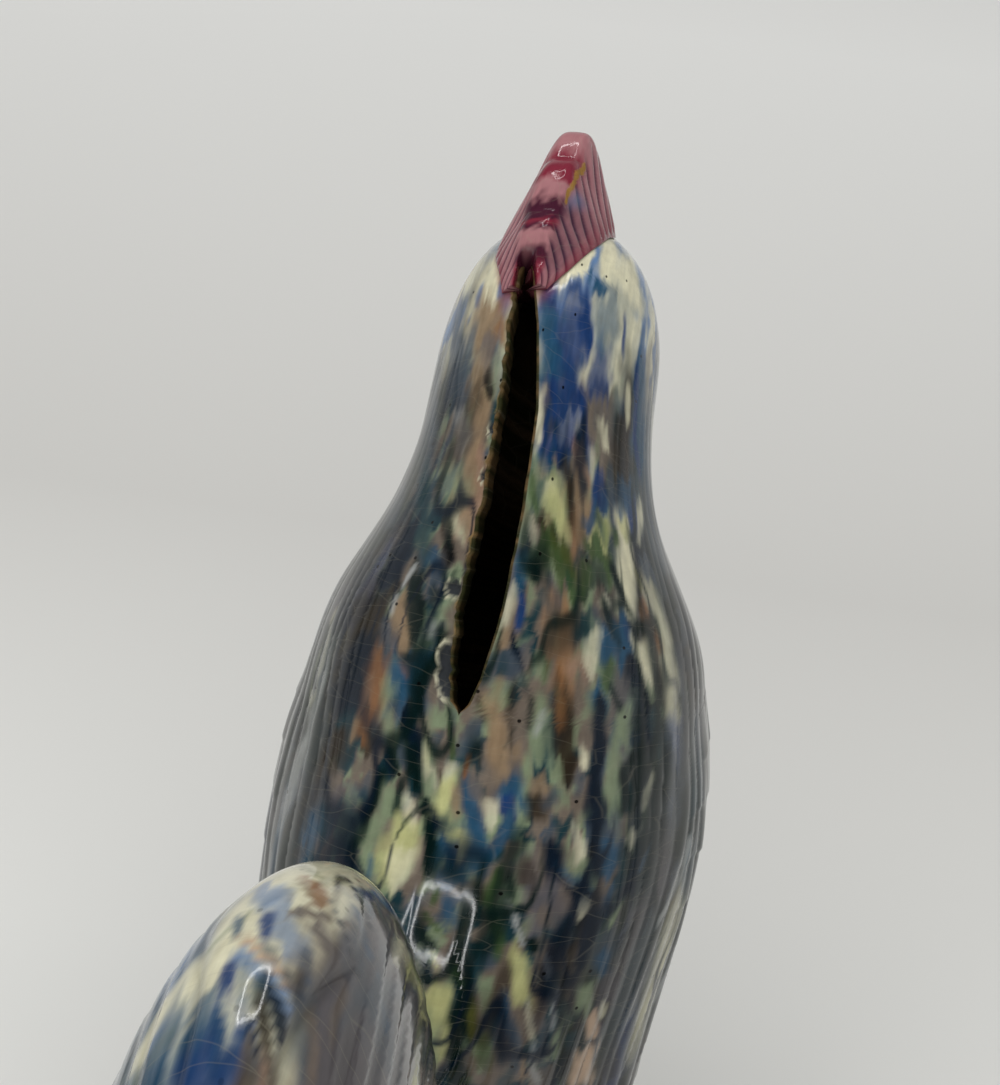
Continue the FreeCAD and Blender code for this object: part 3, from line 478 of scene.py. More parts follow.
    ("tan", 7.27, -16, 2.5, 2.4, -0.30, 0.80), ("umber", 7.46, -17, 3.0, 3.0, 0.00, 0.85),
    ("umber", 7.05, -22, 3.5, 1.7, -0.15, 0.90), ("sage", 7.05, -20, 2.5, 1.1, 0.00, 0.60),
    ("slate", 7.38, -20, 2.5, 2.3, 0.00, 0.60), ("cream", 6.97, -26, 2.5, 1.5, -0.13, 0.54),
    ("slate", 7.27, -26, 3.8, 1.2, -0.21, 0.60), ("navy", 7.18, -30, 7.5, 2.4, -0.18, 0.97),
    ("navy", 7.74, -33, 7.6, 2.5, -0.15, 0.97), ("coal", 8.29, -34, 7.9, 3.1, -0.14, 0.80),
    ("navy", 8.72, -38, 4.9, 2.2, -0.06, 0.95), ("sage", 7.16, -36, 7.0, 2.1, -0.12, 0.85),
    ("slate", 7.66, -38, 5.6, 3.3, -0.21, 0.70), ("azure", 7.94, -38, 4.1, 2.6, -0.07, 0.85),
    ("bottle", 7.25, -40, 5.7, 2.0, 0.00, 0.95), ("bottle", 7.14, -44, 5.9, 1.7, 0.05, 0.90),
    ("cream", 7.29, -48, 2.7, 1.7, 0.11, 0.54), ("green", 7.49, -48, 2.5, 1.9, -0.13, 0.60),
    ("cream", 7.64, -46, 2.5, 2.3, 0.24, 0.90), ("green", 7.74, -49, 2.5, 2.2, 0.60, 0.70),
    ("bottle", 7.85, -44, 4.8, 1.4, -0.06, 0.80), ("slate", 8.07, -50, 4.7, 3.0, -0.27, 0.80),
    ("sky", 7.96, -50, 2.5, 1.3, 0.40, 0.60), ("teal", 7.70, -24, 2.5, 2.6, -0.13, 0.80),
    ("cream", 7.81, -29, 2.8, 1.9, -0.29, 0.61), ("sage", 8.00, -30, 3.0, 2.9, -0.72, 0.85),
    ("navy", 7.98, -23, 3.5, 2.4, -0.45, 0.97), ("azure", 8.07, -28, 2.5, 2.5, -1.20, 0.60),
    ("navy", 8.20, -30, 2.5, 2.5, -0.68, 0.97), ("mauve", 8.29, -22, 6.3, 5.3, -0.33, 0.85),
    ("umber", 8.13, -18, 2.5, 2.7, 0.00, 0.60), ("taupe", 8.41, -22, 2.8, 2.5, -0.66, 0.70),
    ("cream", 8.37, -33, 2.5, 1.4, -0.27, 0.66), ("mist", 8.50, -16, 2.7, 1.0, -0.55, 0.80),
    ("mist", 8.59, -18, 2.5, 0.9, -0.50, 0.80), ("bottle", 8.70, -22, 3.0, 1.7, -0.76, 0.95),
    ("green", 8.24, -10, 3.7, 1.5, 0.13, 0.95), ("green", 8.59, -12, 6.2, 1.5, -0.36, 0.90),
    ("bottle", 8.20, -14, 3.2, 1.0, -0.16, 0.60), ("azure", 8.46, -2, 3.0, 1.5, -0.41, 0.70),
    ("green", 8.39, 2, 2.5, 0.9, 0.00, 0.80), ("slate", 8.44, -6, 3.5, 1.7, -0.14, 0.60),
    ("umber", 8.29, -7, 2.5, 1.2, -0.20, 0.70), ("taupe", 8.82, -6, 2.5, 1.9, -0.64, 0.50),
    ("green", 8.63, 2, 2.5, 1.4, -0.97, 0.70), ("bottle", 8.82, 2, 2.5, 1.5, -0.77, 0.95),
    ("umber", 8.98, -6, 2.9, 1.4, -0.56, 0.85), ("bottle", 9.37, -10, 7.6, 2.9, -0.39, 0.97),
    ("olive", 9.52, -14, 4.4, 1.2, -0.25, 0.90), ("green", 9.11, -6, 2.5, 1.2, -0.27, 0.50),
    ("bottle", 9.93, -12, 9.7, 2.8, -0.31, 0.95), ("green", 9.91, -19, 4.9, 1.5, -0.27, 0.70),
    ("sage", 9.26, -15, 5.2, 1.2, -0.36, 0.85), ("yellow", 9.04, -1, 2.5, 0.7, -0.47, 0.54),
    ("cream", 9.17, 3, 3.4, 1.2, -0.20, 0.58), ("navy", 9.15, 1, 2.5, 0.7, -0.31, 0.80),
    ("yellow", 9.62, -4, 6.1, 2.6, -0.25, 0.95), ("sage", 9.95, -4, 7.6, 2.5, -0.17, 0.85),
    ("yellow", 9.06, -22, 7.0, 2.2, -0.42, 0.95), ("tan", 9.30, -28, 3.8, 1.5, -0.33, 0.70),
    ("azure", 9.48, -22, 5.0, 1.6, -0.38, 0.90), ("slate", 9.82, -26, 6.8, 1.7, -0.31, 0.70),
    ("navy", 9.47, -19, 3.2, 0.9, -0.14, 0.80), ("teal", 9.73, -20, 3.8, 1.3, -0.24, 0.60),
    ("cream", 9.54, -28, 4.1, 0.8, -0.36, 0.41), ("mist", 10.01, -33, 6.3, 1.1, -0.31, 0.60),
    ("tan", 10.06, -30, 4.6, 0.8, -0.26, 0.60), ("umber", 9.11, -28, 3.6, 0.9, -0.22, 0.70),
    ("mist", 8.96, -29, 2.8, 1.0, -0.28, 0.60), ("mist", 9.41, -34, 4.4, 1.2, -0.23, 0.70),
    ("coal", 9.00, -34, 10.6, 3.7, -0.25, 0.75), ("coal", 9.88, -42, 9.5, 2.3, -0.36, 0.75),
    ("slate", 9.80, -34, 7.0, 1.6, -0.32, 0.60), ("sage", 8.42, -44, 3.9, 1.5, 0.00, 0.85),
    ("azure", 8.37, -40, 2.8, 1.9, -0.10, 0.60), ("slate", 8.78, -44, 5.3, 3.9, -0.28, 0.70),
    ("azure", 8.93, -45, 4.0, 2.2, -0.65, 0.70), ("sage", 9.30, -42, 4.8, 2.3, -0.23, 0.80),
    ("teal", 9.76, -42, 3.1, 1.4, -0.35, 0.70), ("coal", 9.47, -53, 4.3, 3.1, -0.54, 0.70),
    ("peach", 9.63, -49, 3.7, 2.8, -0.61, 0.90), ("cream", 9.43, -50, 2.5, 1.6, -0.20, 0.58),
    ("peach", 10.04, -50, 5.0, 4.2, -0.22, 0.95), ("coal", 9.95, -61, 4.7, 3.8, -0.31, 0.70),
    ("cream", 2.25, -36, 7.3, 5.1, -0.58, 0.90), ("cream", 3.18, -32, 5.5, 4.7, -0.18, 0.90),
    ("cream", 3.66, -30, 4.7, 5.8, -0.03, 0.90), ("cream", 2.12, 55, 6.7, 5.9, -0.06, 0.90),
    ("crimson", 2.64, 30, 4.3, 1.2, -0.37, 0.40), ("navy", 2.88, 22, 3.5, 1.5, -0.26, 0.60),
    ("cobalt", 2.23, 66, 2.5, 1.8, 0.96, 0.60), ("tan", 3.35, 29, 6.1, 6.5, -0.27, 0.95),
    ("rust", 3.52, 22, 2.5, 1.6, -0.26, 0.50), ("mauve", 3.68, 26, 4.3, 3.1, -0.33, 0.70),
    ("slate", 3.76, 44, 14.0, 3.6, -0.39, 0.85), ("navy", 4.04, 44, 7.4, 3.2, -0.07, 0.60),
    ("slate", 3.98, 60, 9.2, 3.5, -0.52, 0.70), ("azure", 2.88, 76, 5.3, 1.8, -0.09, 0.50),
    ("tan", 4.13, 26, 9.8, 3.3, -0.27, 0.85), ("coal", 4.04, 22, 2.7, 1.2, -0.32, 0.85),
    ("taupe", 3.78, 24, 5.1, 1.6, -0.25, 0.50), ("mist", 4.50, 30, 3.3, 2.3, -0.52, 0.35),
    ("slate", 4.58, 50, 11.6, 5.0, -0.59, 0.60), ("tan", 4.85, 20, 8.6, 3.3, -0.19, 0.85),
    ("blush", 4.97, 15, 9.4, 1.5, -0.15, 0.70), ("sage", 4.91, 27, 6.1, 3.5, -0.56, 0.50),
    ("teal", 5.11, 38, 9.3, 2.9, -0.65, 0.80), ("bottle", 5.24, 22, 4.4, 1.3, -0.38, 0.70),
    ("cream", 5.28, 18, 2.6, 1.1, -0.48, 0.34), ("azure", 3.48, -3, 9.3, 3.2, -0.14, 0.97),
    ("cobalt", 3.11, -2, 3.0, 1.4, -0.26, 0.80), ("sky", 3.03, -10, 3.3, 3.0, -0.08, 0.80),
    ("azure", 2.83, -23, 2.7, 2.7, -0.44, 0.95), ("mist", 3.48, -16, 3.4, 1.6, -0.08, 0.70),
    ("cobalt", 3.38, -20, 6.1, 2.0, -0.11, 0.98), ("cobalt", 3.18, -40, 4.5, 0.8, -0.13, 0.90),
    ("azure", 3.81, -12, 2.5, 3.7, 0.06, 0.85), ("slate", 3.94, -15, 2.9, 1.9, -0.28, 0.60),
    ("cobalt", 4.09, -8, 4.5, 1.8, -0.21, 0.97), ("azure", 4.13, -15, 2.5, 1.9, -0.24, 0.70),
    ("cobalt", 4.24, -24, 7.3, 1.9, -0.24, 0.97), ("cobalt", 4.44, -8, 4.0, 1.3, -0.11, 0.95),
    ("cream", 4.31, -18, 2.6, 1.9, -0.06, 0.85), ("blush", 4.56, -23, 4.5, 1.3, -0.55, 0.80),
    ("cream", 4.35, -4, 7.6, 1.0, -0.11, 0.80), ("azure", 4.63, -8, 2.5, 1.4, -0.64, 0.50),
    ("navy", 4.58, -16, 2.5, 1.2, -0.14, 0.90), ("taupe", 4.20, -35, 7.9, 5.0, -0.18, 0.75),
    ("cream", 4.31, -36, 2.5, 1.4, -0.25, 0.60), ("umber", 4.44, -44, 7.2, 2.5, 0.05, 0.60),
    ("cream", 4.59, -30, 3.4, 1.1, -0.10, 0.50), ("azure", 3.74, -58, 13.3, 3.7, -0.22, 0.85),
    ("cobalt", 3.89, -56, 11.1, 1.2, -0.22, 0.95), ("slate", 3.96, -72, 13.4, 2.9, -0.14, 0.60),
    ("cream", 3.85, -49, 4.0, 1.0, -0.12, 0.70), ("umber", 4.91, -20, 6.5, 1.4, -0.13, 0.75),
    ("tan", 4.95, -26, 8.1, 2.4, -0.02, 0.70), ("sage", 4.87, -7, 5.7, 2.3, -0.05, 0.70),
    ("green", 4.93, -7, 3.4, 1.0, -0.27, 0.70), ("yellow", 4.95, -15, 6.8, 1.9, -0.14, 0.54),
    ("umber", 5.15, -14, 3.2, 0.7, -0.64, 0.50), ("cobalt", 4.80, -33, 4.6, 1.9, 0.04, 0.95),
    ("azure", 5.02, -29, 2.8, 2.5, -0.13, 0.70), ("slate", 4.84, -40, 6.3, 2.1, 0.09, 0.70),
    ("azure", 4.72, -50, 4.0, 4.2, 0.10, 0.80), ("cobalt", 4.93, -52, 4.2, 1.8, 0.29, 0.95),
    ("slate", 4.61, -73, 9.9, 4.5, 0.38, 0.80), ("cream", 4.93, -57, 4.4, 1.5, 0.52, 0.48),
    ("green", 5.11, -34, 2.5, 2.1, -0.17, 0.60), ("yellow", 5.04, -46, 3.0, 2.0, 0.07, 0.48),
    ("sage", 5.21, -5, 2.9, 1.4, 0.06, 0.60),
    ("cobalt", 3.35, -14, 9.0, 4.0, 0.00, 0.85), ("cobalt", 3.75, -30, 7.0, 2.6, 0.05, 0.85),
    ("azure", 3.20, -30, 6.0, 3.0, 0.00, 0.70), ("cobalt", 4.15, -16, 9.0, 3.0, 0.00, 0.85),
    ("navy", 4.55, -24, 7.0, 1.6, 0.00, 0.80), ("umber", 4.30, 30, 9.0, 3.0, 0.10, 0.60),
    ("slate", 3.80, 40, 9.0, 3.0, 0.00, 0.60), ("bottle", 8.30, -12, 14.0, 2.4, 0.10, 0.75),
    ("navy", 8.80, -30, 16.0, 2.6, 0.05, 0.75), ("bottle", 9.60, 6, 14.0, 2.6, 0.10, 0.75),
    ("umber", 9.40, -18, 12.0, 2.0, 0.00, 0.60),
    ("bottle", 7.60, -52, 18.0, 5.0, 0.05, 0.70), ("teal", 9.20, -58, 18.0, 5.0, 0.00, 0.60),
    ("bottle", 7.20, 48, 16.0, 5.0, 0.00, 0.60), ("umber", 6.40, 46, 14.0, 4.0, 0.00, 0.60),
]


def glaze_rgb(name):
    """Linear colour of a named glaze: the three values of its table entry, straightened."""
    return np.array(srgb(*glazes[name])[:3])


def dab_all(colour, place, uv_of, t, turn, dabs):
    """Glaze colour with the listed dabs laid over it in order. A dab is a cloud: its
    across and along distances in mm, shaken by noise at two or three sizes, over its half
    width and half length, leaning by its slant; it is blunt lengthwise (that share is
    squared), and its strength fades from core to edge."""
    u, v = uv_of(t, turn)
    shake_u = 0.50 * noise(u / 3.0, v / 4.0, 11) + 0.34 * noise(u / 1.3, v / 2.2, 12)
    shake_u = shake_u + 0.14 * noise(u / 0.5, v / 1.5, 13)
    shake_v = 0.90 * noise(u / 3.0, v / 5.0, 14) + 0.50 * noise(u / 1.3, v / 2.4, 15)
    shake_v = shake_v + 1.1 * noise(u / 0.9, v / 8.0, 16) + 0.5 * noise(u / 0.45, v / 5.0, 17)
    step = 0.01
    for name, at_t, degrees, length, width, slant, strength in dabs:
        at_turn = np.radians(degrees)
        spot_t = np.array([at_t, at_t + step, at_t])
        spot_turn = np.array([at_turn, at_turn, at_turn + step])
        spot = place(spot_t, spot_turn)
        mm_t, mm_turn = np.linalg.norm(spot[1:] - spot[0], axis=-1) / step
        along = (t - at_t) * mm_t
        across = (turn - at_turn) * mm_turn - slant * along
        loose = min(1.5, 0.4 + width / 2.5)
        far_across = (across + shake_u * loose) / (0.60 * width)
        far_along = (along + shake_v * loose) / (0.66 * length)
        far = np.hypot(far_across, far_along ** 2)
        cover = strength * (1.0 - smooth(0.30, 1.40, far))
        colour = colour + (glaze_rgb(name) - colour) * cover[..., None]
    return colour


def mottle(u, v, names, size, seed):
    """Cloudy ground of several glazes run together: from one colour to the next by the
    smoothed step of one noise each, the noises taller than wide."""
    warp = 0.35 * noise(u / (0.5 * size), v / (0.8 * size), seed + 9)
    shades = [glaze_rgb(name) for name in names]
    colour = np.broadcast_to(shades[0], u.shape + (3,))
    for n, shade in enumerate(shades[1:]):
        share = smooth(0.0, 0.5, noise(u / size + warp + 7.3 * n, v / (2.2 * size) + warp, seed + n))
        colour = colour + (shade - colour) * share[..., None]
    return colour


# where the comb's foot stands: station, then mm to the bird's left of each of its edges
comb_foot = np.array([
    (1.00, 2.4, -2.4), (1.40, 3.4, -2.5), (1.70, 4.1, -1.9), (2.10, 4.4, -1.3),
    (2.40, 4.8, -0.4), (2.75, 4.5, 0.6), (3.08, 4.4, 2.0),
])


def body_colour(t, turn):
    """Colour of the glazed skin: cream on the head, a mottled ground below it that is darker
    on the flanks, a crowd of seeded dabs, the listed dabs, dark veins where a noise
    crosses zero, a red blush round the comb's foot, then painted shade in the plumage
    grooves and a painted highlight on the ridges; last, each colour times its own
    lightness over 0.08 to a power, which parts dark from pale."""
    u, v = body_uv(t, turn)
    dark_names = ("shade", "bottle", "slate", "umber", "bottle", "navy", "shade")
    ground = mottle(u, v, dark_names, 2.2, 81) * 0.75
    back = mottle(u, v, ("taupe", "sage", "slate", "sage", "teal", "taupe"), 1.8, 101)
    aside = np.abs(turn) + 0.1 * noise(u / 2.0, v / 5.0, 99)
    ground = ground + (back - ground) * (1.0 - smooth(0.55, 0.95, aside))[..., None]
    head = mottle(u, v, ("cream", "mist", "cream", "sky"), 3.0, 91)
    colour = head + (ground - head) * smooth(3.0, 4.2, t + 0.3 * noise(u / 3.0, v / 4.0, 97))[..., None]
    colour = dab_all(colour, body_skin, body_uv, t, turn, body_loose + body_dabs)
    wind = 0.5 * noise(u / 3.5, v / 7.0, 111)
    course = np.abs(noise(u / 2.4 + wind, v / 9.5, 112))
    vein = (1.0 - smooth(0.02, 0.24, course)) * smooth(3.6, 5.2, t)
    vein = vein * smooth(-0.60, 0.05, noise(u / 6.0, v / 12.0, 113))
    deep, blue = glaze_rgb("bottle"), glaze_rgb("navy")
    flow = deep + (blue - deep) * smooth(-0.15, 0.15, noise(u / 7.0, v / 14.0, 114))[..., None]
    colour = colour + (flow - colour) * (0.85 * vein)[..., None]
    x = curve(body_rows, np.clip(t, 0, body_end))[..., 4] * np.sin(turn)
    past_left, past_right = (np.interp(t, comb_foot[:, 0], comb_foot[:, n]) for n in (1, 2))
    past = np.maximum(x - past_left, past_right - x) + 0.5 * noise(u / 0.9, v / 1.1, 115)
    blush = np.exp(-(np.maximum(past - 0.8, 0.0) / 1.2) ** 2) * smooth(0.6, 1.0, t)
    blush = blush * (1.0 - smooth(3.0, 3.4, t)) * (np.abs(turn) < 1.2)
    colour = colour + (glaze_rgb("crimson") - colour) * (0.75 * blush)[..., None]
    # painted shade and highlight: on the flanks and rump the glaze is darkened in the plumage grooves
    # and lightened on the ridges
    ridge = feather_ridges(t, turn)
    depth = smooth(0.6, 1.2, np.abs(turn)) * smooth(3.0, 6.5, t) + 0.4 * smooth(9.0, 10.5, t)
    tone_with_painted_shade = 1.0 + np.clip(depth, 0, 1) * (0.45 * ridge - 0.32) + 0.09 * noise(u / 0.5, v / 3.0, 21)
    light = np.maximum(colour.mean(axis=-1), 0.001)
    tone_with_painted_shade = tone_with_painted_shade * np.clip((light / 0.08) ** 0.45, 0.35, 1.2) * (1.0 - 0.26 * smooth(7.5, 9.5, t))
    return np.clip(colour * tone_with_painted_shade[..., None], 0.0, 1.0)


# loose marks where the photograph shows none to read: down both sides and underneath
pick = np.random.default_rng(11)
body_loose = []
body_loose_count = 240
for n in range(body_loose_count):
    at_t, degrees = 1.0 + 12.2 * n / body_loose_count, (-1) ** n * pick.uniform(35.0, 180.0)
    names = ("slate", "navy", "bottle", "umber", "teal", "azure", "taupe", "cobalt", "shade",
             "mauve", "cream")
    if at_t < 2.6:
        names = ("cream", "cream", "sky", "slate", "taupe")
    body_loose.append((names[pick.integers(len(names))], at_t, degrees, pick.uniform(7.0, 20.0),
                       pick.uniform(2.5, 6.0), pick.uniform(-0.2, 0.1), pick.uniform(0.35, 0.85)))

# chips along the slot's left edge: station, mm from the edge, half length, half width, depth
chips = [
    (4.47, 0.3, 1.0, 0.7, 0.5), (4.86, 0.3, 0.9, 0.8, 0.5),
    (5.75, 1.3, 1.2, 1.0, 0.7), (6.42, 0.9, 3.4, 1.2, 0.9),
]


def chip_depth(t, across):
    """How deep the chips are, in mm, and how near their lip, 0 to 1: each is a bowl, its
    depth times 1 less the square of the distance over its half sizes, shaken by noise,
    and its lip is a narrow hill of that distance just outside 1."""
    run = np.interp(t, arc_t, arc_mm)
    deep, lip = np.zeros((2,) + np.broadcast(t, across).shape)
    shake = 0.16 * noise(run / 0.5, across / 0.4, 31)
    for at_t, off, half_length, half_width, depth in chips:
        far = ((run - np.interp(at_t, arc_t, arc_mm)) / half_length) ** 2
        far = far + ((across - off) / half_width) ** 2
        deep = np.maximum(deep, depth * np.clip(1.0 - far + shake, 0, 1) ** 0.6)
        hill = np.exp(-(((far + 0.3 * shake - 1.14) / 0.17) ** 2))
        lip = np.maximum(lip, hill * smooth(0.1, 0.5, across / (off + half_width)))
    return deep, lip


# points of one loop of a body half: over the skin, and round the slot's outer edge
skin_count, rim_count = 236, 5


def body_half(name, sign):
    """One pressed half as a stack of closed loops: over the skin from the slot or back
    joint to the belly joint, back up inside the wall, and out through the slot's side,
    whose outer edge is a quarter round. Where there is no cavity the inside is one line."""
    dome_t = dome * np.sin(np.linspace(np.pi / 2, 0, 9))
    run_a, run_b = np.interp([slot_first, slot_last], arc_t, arc_mm) + (-3.0, 3.0)
    run_0, run_1 = np.interp([0.0, body_end], arc_t, arc_mm)
    runs = np.concatenate([np.linspace(run_0, run_a, 42)[:-1], np.linspace(run_a, run_b, 118)[:-1],
                           np.linspace(run_b, run_1, 118)])
    stations = np.interp(runs, arc_mm, arc_t)
    t = np.concatenate([-dome_t[:-1], stations, body_end + dome_t[::-1][1:]])[:, None]
    half, shift, open_ = slot_lines(t)
    width = curve(body_rows, np.clip(t, 0, body_end))[..., 4]
    run = np.interp(t, arc_t, arc_mm)
    if sign > 0:
        ragged = 0.22 * noise(run / 1.1, run * 0, 41) + 0.14 * noise(run / 0.45, run * 0, 42)
    else:
        ragged = 0.05 * noise(run / 2.0, run * 0, 43)
    edge_x = shift + sign * half + open_ * ragged
    edge_turn = np.arcsin(np.clip(edge_x / width, -0.9, 0.9))
    start = edge_turn + sign * rim_round * open_ / width
    s = np.linspace(0.0, 1.0, skin_count)
    turn = start + (sign * np.pi - start) * s
    t_all = np.broadcast_to(t, turn.shape)
    dent, lip = np.stack(chip_depth(t, (turn - edge_turn) * width)) * open_ * (sign > 0)
    skin = body_outer(t_all, turn) - outward(body_skin, t_all, turn) * dent[..., None]
    normal = outward(body_outer, t_all, turn)
    if sign > 0:
        bumpy = dent > 0
        lengthwise = np.gradient(skin, axis=0)
        crosswise = np.gradient(skin, axis=1)
        normal = np.where(bumpy[..., None], unit(np.cross(crosswise, lengthwise)), normal)
    quarter = np.linspace(0.0, np.pi / 2, rim_count + 1)[1:]
    rim_turn = start - sign * rim_round * np.sin(quarter) * open_ / width
    rim_t = np.broadcast_to(t, rim_turn.shape)
    rim_out = outward(body_outer, rim_t, rim_turn)
    rim_side = unit(body_skin(rim_t, rim_turn + sign * 0.01) - body_skin(rim_t, rim_turn))
    rim = body_outer(rim_t, rim_turn) - rim_out * (rim_round * (1 - np.cos(quarter)) * open_)[..., None]
    rim_normal = rim_out * np.cos(quarter)[:, None] - rim_side * np.sin(quarter)[:, None]
    hollow = (smooth(1.25, 1.4, t) * (1.0 - smooth(11.9, 12.05, t)))[..., None]
    inner_share = np.clip(edge_x / np.maximum(width - wall, 1.0), -0.9, 0.9)
    inner_edge = np.arcsin(inner_share) * hollow[..., 0]
    inner_turn = sign * np.pi + (inner_edge - sign * np.pi) * np.linspace(0.0, 1.0, 44)
    inner_t = np.broadcast_to(t, inner_turn.shape)
    inner_out = outward(body_skin, inner_t, inner_turn)
    middle = body_skin(t, t * 0 + np.pi / 2) * (0, 1, 1)
    inner = middle + (body_skin(inner_t, inner_turn) - inner_out * wall - middle) * hollow
    side_share = np.linspace(0.0, 1.0, 7)[1:-1, None]
    side = inner[:, -1:] + (rim[:, -1:] - inner[:, -1:]) * side_share
    side_normal = np.broadcast_to(rim_normal[:, -1:], side.shape)
    rim, rim_normal = rim[:, ::-1], rim_normal[:, ::-1]
    points = np.concatenate([skin, inner, side, rim], axis=1)
    points[0], points[-1] = points[0, 0], points[-1, 0]
    normals = np.concatenate([normal, -inner_out, side_normal, rim_normal], axis=1)
    middle_in = body_skin(np.clip(t, 0.3, body_end - 0.3), t * 0 + np.pi / 2) * (0, 1, 1)
    weak = np.linalg.norm(normals, axis=-1, keepdims=True) < 0.5
    normals = np.where(weak, unit(points - middle_in), normals)
    side_turn = np.repeat(edge_turn, side.shape[1], axis=1)
    all_turn = np.concatenate([turn, inner_turn, side_turn, rim_turn[:, ::-1]], axis=1)
    all_t = np.broadcast_to(t, all_turn.shape)
    uv = np.stack(body_uv(all_t, all_turn), -1)
    colour = np.zeros(points.shape[:2] + (4,))
    colour[:, :skin_count, :3] = body_colour(t_all, turn)
    bare = np.zeros(points.shape[:2])
    near = (turn - edge_turn) * sign * width
    grain = noise(near / 0.3, run / 0.4, 53)
    if sign > 0:
        reach = 0.42 + 0.34 * noise(run / 1.6, run * 0, 51)
    else:
        reach = 0.12 + 0.12 * noise(run / 2.0, run * 0, 52)
    broken = 1.0 - smooth(reach - 0.15, reach + 0.15, near + 0.15 * grain)
    bare[:, :skin_count] = broken * (open_ > 0.3)
    bare[:, skin_count:] = 1.0
    clay, stain, chip_shade, white = (glaze_rgb(each) for each in ("clay", "olive", "coal", "cream"))
    worn = np.ones(points.shape[:2])
    worn[:, :skin_count] = 0.45 + 0.4 * noise(near / 0.6, run / 0.9, 54) + 0.3 * grain
    old_dirt = 0.40 + 0.8 * noise(run / 0.7, run * 0, 55) + 0.4 * noise(run / 0.3, run * 0, 56)
    worn[:, skin_count:] = old_dirt
    rind = stain * 0.6 + (clay - stain * 0.6) * np.clip(worn, 0.0, 1.0)[..., None]
    colour[..., :3] += (rind - colour[..., :3]) * bare[..., None]
    in_chip = smooth(0.10, 0.35, dent)
    skin_colour = colour[:, :skin_count, :3]
    # painted shade: the chip hollows are darkened to a dark grey; painted highlight: their lips are
    # lightened to pale cream
    skin_colour += (chip_shade * 3.0 - skin_colour) * in_chip[..., None]
    skin_colour += (white * 1.1 - skin_colour) * (lip * 0.85)[..., None]
    bare[:, :skin_count] = np.maximum(bare[:, :skin_count], in_chip) * (1.0 - lip)
    colour[..., 3] = bare
    # painted shade: the inside of the wall and the slot's cut sides keep a sixth of their clay colour,
    # and the slot's rounded rim under half, for the dark inside the slot
    colour[:, skin_count:-rim_count, :3] *= 0.16
    colour[:, -rim_count:, :3] *= 0.45
    return closed_mesh(name, points, normals, uv, {"glaze": colour})


